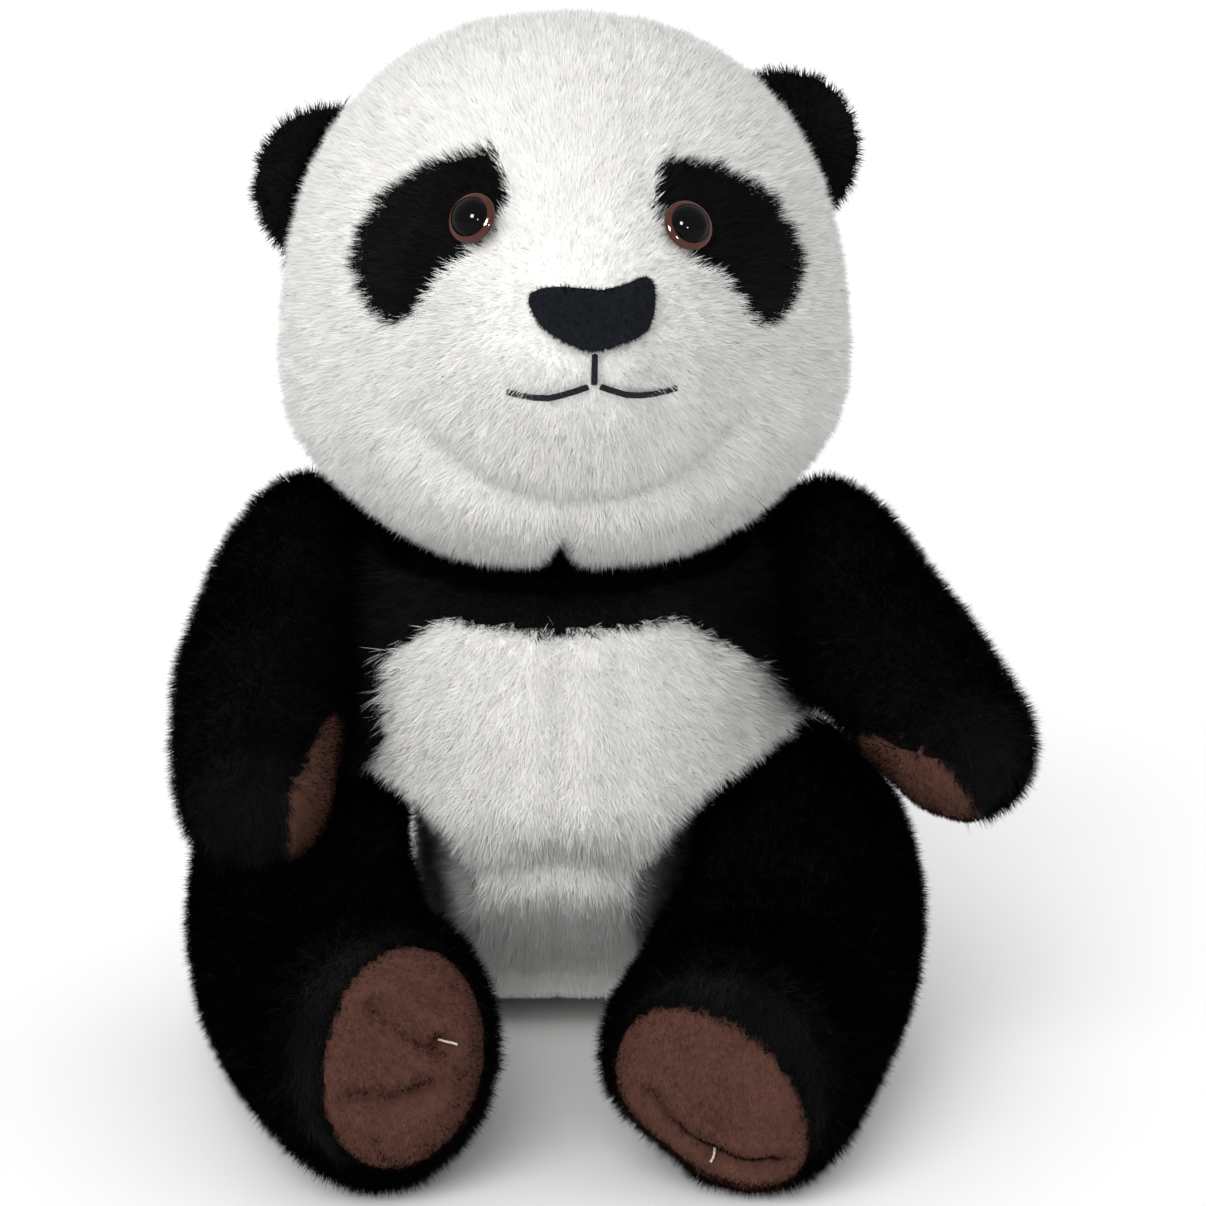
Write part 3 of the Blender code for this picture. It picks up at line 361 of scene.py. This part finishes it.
def patterned_material(name, group, size_name, size, colour, dark):
    """A material coloured by a group's pattern: the material, its shader, and the group's node."""
    look = bpy.data.materials.new(name)
    look.use_nodes = True
    nodes, links = look.node_tree.nodes, look.node_tree.links
    pattern = nodes.new("ShaderNodeGroup")
    pattern.node_tree = group
    pattern.inputs["Light"].default_value = (*colour, 1.0)
    pattern.inputs["Dark"].default_value = (*dark, 1.0)
    pattern.inputs[size_name].default_value = size
    shader = nodes["Principled BSDF"]
    links.new(pattern.outputs["Colour"], shader.inputs["Base Color"])
    return look, shader, pattern


def add_relief(look, shader, pattern, strength, depth):
    """Raises a material's surface by its pattern's height."""
    relief = look.node_tree.nodes.new("ShaderNodeBump")
    relief.inputs["Strength"].default_value = strength
    relief.inputs["Distance"].default_value = depth
    look.node_tree.links.new(pattern.outputs["Height"], relief.inputs["Height"])
    look.node_tree.links.new(relief.outputs["Normal"], shader.inputs["Normal"])


MOTTLE = pattern_group("mottle", "Grain")
mottle_noise = MOTTLE.nodes.new("ShaderNodeTexNoise")
mottle_noise.inputs["Detail"].default_value = 3.0
fill_pattern(MOTTLE, "Grain", mottle_noise)


def backing_material(name, colour, darker, grain):
    """The knitted backing seen between the hairs: mottled, matt and slightly rough."""
    look, shader, mottle = patterned_material(name, MOTTLE, "Grain", grain, colour, darker)
    shader.inputs["Roughness"].default_value = 0.95
    shader.inputs["Specular IOR Level"].default_value = 0.08
    add_relief(look, shader, mottle, 0.4, 0.0006)
    return look


WHITE_BACKING = backing_material("white_backing", (0.90, 0.89, 0.86), (0.74, 0.73, 0.70), 1100.0)
BLACK_BACKING = backing_material("black_backing", (0.0040, 0.0041, 0.0045), (0.0015, 0.0016, 0.0018), 900.0)
BROWN_BACKING = backing_material("brown_backing", (0.100, 0.045, 0.034), (0.055, 0.024, 0.018), 900.0)
BACKINGS = {"white_plush": WHITE_BACKING, "black_plush": BLACK_BACKING, "brown_suede": BROWN_BACKING}


def dress(form, nodes, reach):
    """Gives each face of a backing the colour of the panel that it belongs to."""
    for look in BACKINGS.values():
        form.data.materials.append(look)
    order = list(BACKINGS)
    owner = reach.argmin(axis=0)
    for face in form.data.polygons:
        panels = [owner[v] for v in face.vertices]
        face.material_index = order.index(SLOTS[nodes[max(set(panels), key=panels.count)]])


LAP_LIFT = 0.0135


def lift_lap(form):
    """Raises the front of the seat, which rests on nothing between the thighs."""
    spots = points_of(form)
    in_lap = np.clip((0.030 - spots[:, 1]) / 0.050, 0.0, 1.0)
    spots[:, 2] += LAP_LIFT * in_lap * np.clip(1.0 - spots[:, 2] / 0.045, 0.0, 1.0)
    set_points(form, spots)


TORSO_PANELS = [
    "belly_panel_left", "belly_panel_right", "chest_yoke", "back_yoke",
    "lower_back_panel_left", "lower_back_panel_right", "seat_panel",
]
torso = soft_form("torso_backing", TORSO_PANELS + ["torso_stuffing", "bean_pouch", "neck_wad"], 0.0025, 10)
torso_reach = distances(torso, TORSO_PANELS)
spots = points_of(torso)
seams = seam_distance(torso_reach)
in_front = np.clip(-spots[:, 1] / 0.02, 0.0, 1.0)
BELLY_SEAM_X = -0.0013
BELLY_SEAM_DEPTH = 0.0010
BELLY_FOLD_Z = 0.0545
BELLY_FOLD_DEPTH = 0.0022
BELLY_ROLL = 0.0012
PANEL_SEAM_DEPTH = 0.0009
centre_seam = BELLY_SEAM_DEPTH * hump(spots[:, 0] - BELLY_SEAM_X, 0.0022) * in_front
fold_line = BELLY_FOLD_Z + 0.004 * np.cos(spots[:, 0] / 0.012)
belly_fold = BELLY_FOLD_DEPTH * hump(spots[:, 2] - fold_line, 0.0055) * hump(spots[:, 0], 0.036) * in_front
above_fold = BELLY_ROLL * hump(spots[:, 2] - fold_line - 0.013, 0.010) * hump(spots[:, 0], 0.034) * in_front
seat = np.clip(spots[:, 2] / GROUNDED_HEIGHT, 0.0, 1.0)
sink = (FUR_DEPTH + PANEL_SEAM_DEPTH * hump(seams, 0.0020)) * seat + centre_seam + belly_fold - above_fold
push(torso, -sink)
lift_lap(torso)
dress(torso, TORSO_PANELS, torso_reach)
ON_WHITE = np.array([SLOTS[node] == "white_plush" for node in TORSO_PANELS])[torso_reach.argmin(axis=0)]
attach(torso, "torso")
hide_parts("torso_stuffing")


def comb_down(roots):
    """Pile that lies down the body and a little away from its middle."""
    return np.stack([roots[:, 0] * 6.0, np.zeros(len(roots)), np.full(len(roots), -1.0)], axis=1)


BODY_PILE = 0.0042
# Black pile is so much longer again where a limb meets the torso, and closes the gap between them.
REACHING_PILE = 1.7
inner_panels = [f"{limb}_{side}_inner_panel" for limb in ("arm", "leg") for side in ("left", "right")]
near_limbs = distances(torso, inner_panels)
bridging = 1.0 + REACHING_PILE * hump(near_limbs.min(axis=0), 0.009) * (~ON_WHITE)
grow_fur(torso, TORSO_PANELS, torso_reach, comb_down, "torso", 11, dict.fromkeys(TORSO_PANELS, BODY_PILE),
         trim=(0.25 + 0.75 * seat) * bridging)

# --- Neck ---
# A sewn tube of black plush round a firm wad of filling, which joins the head to the shoulders.

neck = soft_form("neck_backing", ["neck_wad"], 0.0020, 4)
push(neck, -NAP_DEPTH)
neck.data.materials.append(BLACK_BACKING)
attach(neck, "neck")
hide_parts("neck_wad")

# --- Head ---
# A round stuffed head of short white plush: a muzzle panel, a gusset over the crown, a face panel and a back
# panel on each side, and a black patch set in round each eye. The jaw seam and a tuck at the chin pull in.

HEAD_PANELS = [
    "muzzle_panel", "crown_gusset", "face_panel_left", "face_panel_right",
    "head_back_panel_left", "head_back_panel_right", "eye_patch_left", "eye_patch_right",
]
MUZZLE_SEAM_CENTRE_Z = 0.1785
MUZZLE_SEAM_HALF = (0.0400, 0.0300)
JAW_SEAM_DEPTH = 0.0024
CHIN_ROLL = 0.0016
CHIN_TUCK_X = -0.0032
CHIN_TUCK_Z = 0.124
CHIN_TUCK_DEPTH = 0.0060
CHIN_SEAM_DEPTH = 0.0009
FACE_SEAM_DEPTH = 0.0005
HEAD_PILE = 0.0038
neck_pivot = np.array(joints["neck_turn"]["pos_m"])
nod_axis = joints["neck_nod"]["axis"]
HEAD_TURN = math.atan2(-nod_axis[1], -nod_axis[0])


def face_on(places):
    """Places on the head as they are when it looks straight ahead."""
    turn = np.array(Matrix.Rotation(-HEAD_TURN, 3, "Z"))
    return (places - neck_pivot) @ turn.T + neck_pivot


head = soft_form("head_backing", HEAD_PANELS + ["head_stuffing"], 0.0022, 12)
head_reach = distances(head, HEAD_PANELS)
spots = face_on(points_of(head))
in_front = np.clip((-0.030 - spots[:, 1]) / 0.015, 0.0, 1.0)
seams = seam_distance(head_reach)
round_muzzle = np.hypot(
    spots[:, 0] / MUZZLE_SEAM_HALF[0], (spots[:, 2] - MUZZLE_SEAM_CENTRE_Z) / MUZZLE_SEAM_HALF[1],
)
below = np.clip((MUZZLE_SEAM_CENTRE_Z - 0.004 - spots[:, 2]) / 0.012, 0.0, 1.0) * in_front
jaw = JAW_SEAM_DEPTH * hump(round_muzzle - 1.0, 0.12) * below
chin_roll = CHIN_ROLL * hump(round_muzzle - 1.28, 0.16) * below
chin_tuck = CHIN_TUCK_DEPTH * hump(spots[:, 0] - CHIN_TUCK_X, 0.0030)
chin_tuck = chin_tuck * hump(spots[:, 2] - CHIN_TUCK_Z, 0.012) * np.clip(-spots[:, 1] / 0.02, 0.0, 1.0)
chin_seam = CHIN_SEAM_DEPTH * hump(spots[:, 0] - CHIN_TUCK_X, 0.0022) * below * (round_muzzle > 1.0)
face_seams = FACE_SEAM_DEPTH * hump(seams, 0.0018)
push(head, -(FUR_DEPTH + face_seams + jaw - chin_roll + chin_tuck + chin_seam))
dress(head, HEAD_PANELS, head_reach)
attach(head, "head")
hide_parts("head_stuffing")

nose_low, nose_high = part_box("nose_pad")
nose_middle = np.array((nose_low + nose_high) / 2)


def comb_from_nose(roots):
    """Pile that lies away from the nose, and down the cheeks."""
    away_from_nose = unit(roots - nose_middle)
    away_from_nose[:, 2] -= 0.35
    return away_from_nose


from_nose = np.linalg.norm(points_of(head) - nose_middle, axis=1)
short_at_nose = 0.50 + 0.50 * np.clip((from_nose - 0.012) / 0.022, 0.0, 1.0)
longer_below = 1.0 + 0.10 * np.clip((0.178 - spots[:, 2]) / 0.025, 0.0, 1.0)
short_in_tuck = 1.0 - 0.55 * np.clip(chin_tuck / 0.004, 0.0, 1.0)
grow_fur(head, HEAD_PANELS, head_reach, comb_from_nose, "head", 21, dict.fromkeys(HEAD_PANELS, HEAD_PILE),
         trim=short_at_nose * longer_below * short_in_tuck)

# --- Eyes ---
# Safety eyes: a glossy brown disc with a black domed pupil moulded into it, on a post through the fabric.

EYE_SEGMENTS = 48
EYE_RINGS = 24
# How far the discs and the pupils' domes are set back from the eye's front, and how far they swell.
DISC_SET_BACK = 0.0031
DISC_HEIGHT = 0.0018
DISC_TRIM = 0.0002
PUPIL_SET_BACK = 0.0028
PUPIL_RADIUS = 0.0048
PUPIL_HEIGHT = 0.0036


def glossy_material(name, colour, deep, shine):
    """Smooth moulded plastic of a slightly mottled colour."""
    look, shader, _ = patterned_material(name, MOTTLE, "Grain", 420.0, colour, deep)
    shader.inputs["Roughness"].default_value = 0.06
    shader.inputs["Specular IOR Level"].default_value = shine
    return look


IRIS_LOOK = glossy_material("brown_eye_plastic", (0.070, 0.018, 0.009), (0.036, 0.009, 0.005), 0.30)
PUPIL_LOOK = glossy_material("black_pupil_plastic", (0.0020, 0.0020, 0.0022), (0.0010, 0.0010, 0.0012), 0.08)


def eye_dome(name, place, direction, radius, height, back_cut):
    """A flattened ball seen from its front, cut flat behind: place is the middle of its widest part."""
    clear_selection()
    bpy.ops.mesh.primitive_uv_sphere_add(segments=EYE_SEGMENTS, ring_count=EYE_RINGS, radius=1.0)
    dome = bpy.context.active_object
    dome.name = name
    dome.data.name = name
    bpy.ops.object.mode_set(mode="EDIT")
    bpy.ops.mesh.select_all(action="SELECT")
    bpy.ops.mesh.bisect(
        plane_co=(0.0, 0.0, -back_cut), plane_no=(0.0, 0.0, -1.0), use_fill=True, clear_outer=True,
    )
    bpy.ops.object.mode_set(mode="OBJECT")
    dome.scale = (radius, radius, height)
    dome.location = place
    dome.rotation_euler = direction.to_track_quat("Z", "Y").to_euler()
    bpy.ops.object.transform_apply(location=True, rotation=True, scale=True)
    bpy.ops.object.shade_smooth_by_angle(angle=math.radians(40.0))
    return dome


for side in ("left", "right"):
    pupil_points = points_of(frame["nodes"][f"eye_{side}_pupil"])
    iris_points = points_of(frame["nodes"][f"eye_{side}_iris"])
    washer_points = points_of(frame["nodes"][f"eye_{side}_washer"])
    centre = washer_points.mean(axis=0)
    axis = Vector(pupil_points.mean(axis=0) - centre).normalized()
    along = (pupil_points - centre) @ np.array(axis)
    face = Vector(centre) + axis * along.min()
    from_centre = iris_points - centre
    across = from_centre - np.outer(from_centre @ np.array(axis), np.array(axis))
    radius = np.linalg.norm(across, axis=1).max() - DISC_TRIM
    iris = eye_dome(f"eye_{side}_disc", face - axis * DISC_SET_BACK, axis, radius, DISC_HEIGHT, 0.3)
    iris.data.materials.append(IRIS_LOOK)
    pupil = eye_dome(f"eye_{side}_dome", face - axis * PUPIL_SET_BACK, axis, PUPIL_RADIUS, PUPIL_HEIGHT, 0.0)
    pupil.data.materials.append(PUPIL_LOOK)
    for piece, node, slot in ((iris, "iris", "eye_brown"), (pupil, "pupil", "pupil_black")):
        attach(piece, "head")
        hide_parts(f"eye_{side}_{node}")

# --- Nose and mouth ---
# A small padded nose of charcoal velboa, sewn on at its edge, and a mouth in three lines of black thread.

NOSE_HAIR = shades("nose_nap", (0.0115, 0.0130, 0.0165), (0.50, 0.85, 1.25, 1.8), 0.85, 0.15)
NOSE_DENSITY = 9.0e6
NOSE_PILE = 0.0009
NOSE_BACKING = backing_material("nose_backing", (0.012, 0.014, 0.018), (0.006, 0.007, 0.009), 1400.0)
nose = soft_form("nose_backing", ["nose_pad"], 0.0008, 6)
push(nose, -0.0004)
nose.data.materials.append(NOSE_BACKING)
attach(nose, "head")
grow_fur(nose, ["nose_pad"], distances(nose, ["nose_pad"]), comb_down, "head", 31, {"nose_pad": NOSE_PILE},
         density=NOSE_DENSITY, lean=0.8, looks={"nose_cloth": NOSE_HAIR})

STRANDS = pattern_group("strands", "Turns")
strand_wave = STRANDS.nodes.new("ShaderNodeTexWave")
strand_wave.bands_direction = "DIAGONAL"
strand_wave.inputs["Distortion"].default_value = 1.5
fill_pattern(STRANDS, "Turns", strand_wave)


def thread_material(name, colour, dark):
    """Embroidery thread: fine slanting strands between furrows, painted lighter on the strands as a painted sheen
    and darker in the furrows as painted shade, with a soft real sheen from the shader as well.
    """
    look, shader, strands = patterned_material(name, STRANDS, "Turns", 430.0, colour, dark)
    shader.inputs["Roughness"].default_value = 0.6
    shader.inputs["Specular IOR Level"].default_value = 0.2
    add_relief(look, shader, strands, 0.6, 0.0003)
    return look


# In each thread the second, darker colour is painted shade in the furrows between the strands.
MOUTH_THREAD = thread_material("mouth_thread", (0.012, 0.012, 0.016), (0.004, 0.004, 0.006))
PALE_THREAD = thread_material("pale_thread", (0.62, 0.55, 0.44), (0.40, 0.34, 0.27))
# The thread is pulled into the pile: by the first depth at the mouth's middle, and by both at its ends.
THREAD_SINK = (0.0017, 0.0013)
for line in ("centre", "left", "right"):
    node = f"mouth_thread_{line}"
    thread = soft_form(f"mouth_line_{line}", [node], 0.00035, 4)
    push(thread, -0.0001)
    spread = np.abs(face_on(points_of(thread))[:, 0])
    lowered = THREAD_SINK[0] + THREAD_SINK[1] * np.clip((spread - 0.008) / 0.009, 0.0, 1.0)
    set_points(thread, points_of(thread) + np.outer(lowered, (0.0, 1.0, 0.0)))
    thread.data.materials.append(MOUTH_THREAD)
    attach(thread, "head")
    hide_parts(node)

# --- Ears ---
# Thick round ears of black plush, front and back sewn round their rim, each set into a slit in the head.

EAR_PILE = 0.0036
for side in ("left", "right"):
    ear_panels = [f"ear_{side}_front", f"ear_{side}_back"]
    ear = soft_form(f"ear_{side}_backing", ear_panels + [f"ear_{side}_stuffing"], 0.0016, 6)
    ear_reach = distances(ear, ear_panels)
    push(ear, -FUR_DEPTH)
    dress(ear, ear_panels, ear_reach)
    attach(ear, f"ear_{side}")
    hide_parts(f"ear_{side}_stuffing")
    ear_root = np.array(joints[f"ear_fold_{side}"]["pos_m"])

    def comb_from_head(roots):
        return roots - ear_root

    grow_fur(ear, ear_panels, ear_reach, comb_from_head, f"ear_{side}", 41 + len(side),
             dict.fromkeys(ear_panels, EAR_PILE), lean=0.5, stray=0.20)

# --- Arms ---
# Stuffed arms of black plush with a brown velboa pad let into each palm, sewn to the shoulders so that they
# hang forwards and lift.

NAP_PILE = 0.0012
CREASE_DEPTH = 0.0022
TACK_DEPTH = 0.0016
PAD_RIM_DEPTH = 0.0007
# The brown nap's wide spread of tones, laid in clouds, is partly random tone and partly painted sheen and painted
# shade: the lighter and darker patches that light makes on nap lying different ways.
BROWN_NAP = shades("brown_nap", (0.112, 0.050, 0.037), (0.48, 0.78, 1.10, 1.60), 0.85, 0.10)
LIMB_TONES = {"black_plush": BLACK_HAIR, "brown_suede": BROWN_NAP}


def crease(across, up, line):
    """How far each place on a pad is from a crease that runs through the points of a line."""
    places = np.stack([across, up], axis=1)
    nearest = np.full(len(places), 1.0)
    for start, end in zip(np.array(line[:-1]), np.array(line[1:])):
        step = end - start
        share = np.clip((places - start) @ step / (step @ step), 0.0, 1.0)
        nearest = np.minimum(nearest, np.linalg.norm(places - start - share[:, None] * step, axis=1))
    return nearest


def comb_along(way):
    """Pile that lies the way a limb runs, and a little downwards."""
    def comb(roots):
        return np.broadcast_to(unit(way[None, :]), roots.shape) + np.array((0.0, 0.0, -0.3))
    return comb


def limb_backing(name, panels, pad, stuffing, body, voxel, creases=(), tack=None):
    """A limb's backing: deep under its fur, and near the surface under its short-napped and creased pad."""
    form = soft_form(name, panels + [stuffing], voxel, 8)
    reach = distances(form, panels)
    from_edge = np.delete(reach, panels.index(pad), axis=0).min(axis=0) - reach[panels.index(pad)]
    on_pad = np.clip(from_edge / 0.0016 + 0.5, 0.0, 1.0)
    spots = points_of(form)
    grounded = np.clip(spots[:, 2] / GROUNDED_HEIGHT, 0.0, 1.0)
    rim = PAD_RIM_DEPTH * hump(from_edge, 0.0022)
    sink = (FUR_DEPTH + (NAP_DEPTH - FUR_DEPTH) * on_pad) * grounded + rim
    middle = spots[on_pad > 0.9].mean(axis=0)
    facing = unit(normals_of(form)[on_pad > 0.9].mean(axis=0)[None, :])[0]
    across = unit(np.cross((0.0, 0.0, 1.0), facing)[None, :])[0]
    up = np.cross(facing, across)
    in_front = np.clip(((spots - middle) @ facing + 0.02) / 0.01, 0.0, 1.0)
    u, v = (spots - middle) @ across, (spots - middle) @ up
    for line in creases:
        sink += CREASE_DEPTH * hump(crease(u, v, line), 0.0016) * in_front
        sink -= 0.5 * CREASE_DEPTH * hump(crease(u, v, line) - 0.0048, 0.0026) * in_front
    tack_place = None
    if tack:
        sink += TACK_DEPTH * hump(np.hypot(u - tack[0], v - tack[1]), 0.0024) * in_front
        tack_place = middle + across * tack[0] + up * tack[1], facing, across, up
    push(form, -sink)
    dress(form, panels, reach)
    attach(form, body)
    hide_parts(stuffing)
    return form, reach, tack_place


for side in ("left", "right"):
    pad = f"arm_{side}_paw_pad"
    arm_panels = [f"arm_{side}_outer_panel", f"arm_{side}_inner_panel", pad]
    arm, arm_reach, _ = limb_backing(
        f"arm_{side}_backing", arm_panels, pad, f"arm_{side}_stuffing", f"arm_{side}", 0.0021,
    )
    pad_low, pad_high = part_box(pad)
    arm_way = np.array((pad_low + pad_high) / 2) - np.array(joints[f"shoulder_swing_{side}"]["pos_m"])
    bridging = 1.0 + REACHING_PILE * hump(distances(arm, ["chest_yoke", "back_yoke"]).min(axis=0), 0.007)
    arm_lengths = dict.fromkeys(arm_panels, BODY_PILE) | {pad: NAP_PILE}
    # patchy=0.5 lays the brown pad's tones in clouds: partly random tone, partly painted sheen and painted shade
    # of nap lying different ways.
    grow_fur(arm, arm_panels, arm_reach, comb_along(arm_way), f"arm_{side}", 51 + len(side), arm_lengths,
             looks=LIMB_TONES, trim=bridging, patchy=0.5)

# --- Legs ---
# Fat stuffed legs of black plush that splay forwards, each with an upright foot and a brown velboa sole. A
# tack stitch through each sole pulls a dimple in it and leaves its pale thread end showing.

# Where each tack goes through its sole, and its thread end and the sole's creases, as runs of points: to the
# side and up from the sole's middle.
TACKS = {"left": (0.0017, -0.0090), "right": (0.0072, 0.0028)}
TACK_TAILS = {
    "left": ((0.0, 0.0012), (0.0006, -0.0008), (-0.0006, -0.0032)),
    "right": ((-0.0010, 0.0004), (0.0012, 0.0002), (0.0036, 0.0000)),
}
THREAD_RADIUS = 0.00028
SOLE_CREASES = {
    "left": (
        ((-0.0124, 0.0044), (-0.0098, -0.0007), (-0.0044, -0.0054), (0.0017, -0.0090), (0.0098, -0.0120),
         (0.0150, -0.0116)),
    ),
    "right": (
        ((-0.0081, 0.0142), (-0.0015, 0.0087), (0.0044, 0.0039), (0.0072, 0.0028)),
        ((-0.0146, -0.0061), (-0.0070, -0.0087), (0.0028, -0.0065)),
    ),
}


def thread_tail(name, points):
    """A short end of thread through some points, as a thin closed tube."""
    line = bpy.data.curves.new(name, "CURVE")
    line.dimensions = "3D"
    line.bevel_depth = THREAD_RADIUS
    line.bevel_resolution = 3
    line.use_fill_caps = True
    run = line.splines.new("NURBS")
    run.points.add(len(points) - 1)
    for number, point in enumerate(points):
        run.points[number].co = (*point, 1.0)
    run.use_endpoint_u = True
    run.order_u = 3
    tail_end = bpy.data.objects.new(name, line)
    bpy.context.scene.collection.objects.link(tail_end)
    clear_selection()
    tail_end.select_set(True)
    bpy.context.view_layer.objects.active = tail_end
    bpy.ops.object.convert(target="MESH")
    return bpy.context.active_object


for side in ("left", "right"):
    sole = f"leg_{side}_sole"
    leg_panels = [f"leg_{side}_outer_panel", f"leg_{side}_inner_panel", sole]
    leg, leg_reach, (tack_spot, facing, across, up) = limb_backing(
        f"leg_{side}_backing", leg_panels, sole, f"leg_{side}_stuffing", f"leg_{side}", 0.0020,
        SOLE_CREASES[side], TACKS[side],
    )
    surface = tree_of(leg)
    tail_points = []
    for number, (right, rise) in enumerate(TACK_TAILS[side]):
        above = tack_spot + across * right + up * rise
        place = surface.find_nearest(Vector(above))[0]
        tail_points.append(np.array(place) + facing * (0.0004 + 0.0009 * min(number, 1)))
    tack = thread_tail(f"tack_stitch_{side}", tail_points)
    tack.data.materials.append(PALE_THREAD)
    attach(tack, f"leg_{side}")
    sole_low, sole_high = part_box(sole)
    leg_way = np.array((sole_low + sole_high) / 2) - np.array(joints[f"hip_swing_{side}"]["pos_m"])
    grounded = 0.25 + 0.75 * np.clip(points_of(leg)[:, 2] / GROUNDED_HEIGHT, 0.0, 1.0)
    leg_lengths = dict.fromkeys(leg_panels, BODY_PILE) | {sole: NAP_PILE}
    # patchy=0.5 lays the brown sole's tones in clouds: partly random tone, partly painted sheen and painted shade
    # of nap lying different ways.
    grow_fur(leg, leg_panels, leg_reach, comb_along(leg_way), f"leg_{side}", 61 + len(side), leg_lengths,
             looks=LIMB_TONES, trim=grounded, patchy=0.5)

# --- Tail ---
# A short round tail of white plush, low on the back.

tail = soft_form("tail_backing", ["tail"], 0.0018, 6)
push(tail, -NAP_DEPTH)
set_points(tail, points_of(tail) - np.array((0.0, FUR_DEPTH, 0.0)))
tail.data.materials.append(WHITE_BACKING)
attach(tail, "torso")
grow_fur(tail, ["tail"], distances(tail, ["tail"]), comb_down, "torso", 71, {"tail": BODY_PILE})

# --- Hidden parts and the closing seam ---
# The eyes' lock washers, the pouch of plastic beans and the ladder stitch that closes the back.

WASHER_LOOK = backing_material("washer_plastic", (0.62, 0.62, 0.60), (0.50, 0.50, 0.48), 300.0)
POUCH_LOOK = backing_material("pouch_cloth", (0.55, 0.52, 0.45), (0.42, 0.39, 0.33), 1200.0)
for side in ("left", "right"):
    frame["nodes"][f"eye_{side}_washer"].material_slots[0].material = WASHER_LOOK
STITCH_SINK = 0.0022
stitches = soft_form("ladder_stitch", ["closing_stitch"], 0.0004, 4)
set_points(stitches, points_of(stitches) - np.array((0.0, STITCH_SINK, 0.0)))
stitches.data.materials.append(PALE_THREAD)
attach(stitches, "torso")
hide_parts("closing_stitch")
pouch = soft_form("bean_bag", ["bean_pouch"], 0.0020, 8)
push(pouch, -0.0010)
lift_lap(pouch)
pouch.data.materials.append(POUCH_LOOK)
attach(pouch, "torso")
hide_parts("bean_pouch")

# --- Camera, floor and light ---
# A camera a little above the panda's eyes, a plain pale floor, and soft light from above and in front.

AIM = Vector((0.010, -0.035, 0.118))
CAMERA_DISTANCE = 0.90
CAMERA_ELEVATION = math.radians(15.0)
VIEW_WIDTH = 0.2834
camera_data = bpy.data.cameras.new("camera")
camera = bpy.data.objects.new("camera", camera_data)
bpy.context.scene.collection.objects.link(camera)
away = Vector((0.0, -math.cos(CAMERA_ELEVATION), math.sin(CAMERA_ELEVATION)))
camera.location = AIM + away * CAMERA_DISTANCE
camera.rotation_euler = (-away).to_track_quat("-Z", "Y").to_euler()
camera_data.angle = 2.0 * math.atan(VIEW_WIDTH / 2.0 / CAMERA_DISTANCE)
bpy.context.scene.camera = camera
bpy.context.scene.view_settings.view_transform = "Standard"

clear_selection()
bpy.ops.mesh.primitive_plane_add(size=12.0, location=(0.0, 0.0, 0.0))
floor = bpy.context.active_object
floor.name = "floor"
floor.data.materials.append(plain_material("pale_floor", (0.93, 0.93, 0.93), 0.9, 0.1))

world = bpy.data.worlds.new("studio")
world.use_nodes = True
sky = world.node_tree.nodes["Background"]
sky.inputs["Color"].default_value = (1.0, 1.0, 1.0, 1.0)
sky.inputs["Strength"].default_value = 0.80
bpy.context.scene.world = world


def aim_at_panda(lamp, name, place):
    """Puts a lamp at a place, turned to the panda's chest."""
    holder = bpy.data.objects.new(name, lamp)
    holder.location = place
    holder.rotation_euler = (AIM - Vector(place)).to_track_quat("-Z", "Y").to_euler()
    bpy.context.scene.collection.objects.link(holder)
    return holder


broad = bpy.data.lights.new("broad_light", "SUN")
broad.energy = 2.30
broad.angle = math.radians(50.0)
aim_at_panda(broad, "broad_light", (-0.30, -0.95, 0.75)).visible_glossy = False
# Two catch lights shine on the eyes alone.
bright_eyes = bpy.data.collections.new("bright_eyes")
for side in ("left", "right"):
    for shape in ("disc", "dome"):
        bright_eyes.objects.link(bpy.data.objects[f"eye_{side}_{shape}"])
for name, place, size, energy in (
    ("catch_light_left", (-0.30, -0.90, 0.72), 0.24, 30.0),
    ("catch_light_right", (0.22, -1.00, 0.42), 0.10, 5.0),
):
    catch = bpy.data.lights.new(name, "AREA")
    catch.energy = energy
    catch.size = size
    holder = aim_at_panda(catch, name, place)
    holder.visible_diffuse = False
    holder.light_linking.receiver_collection = bright_eyes
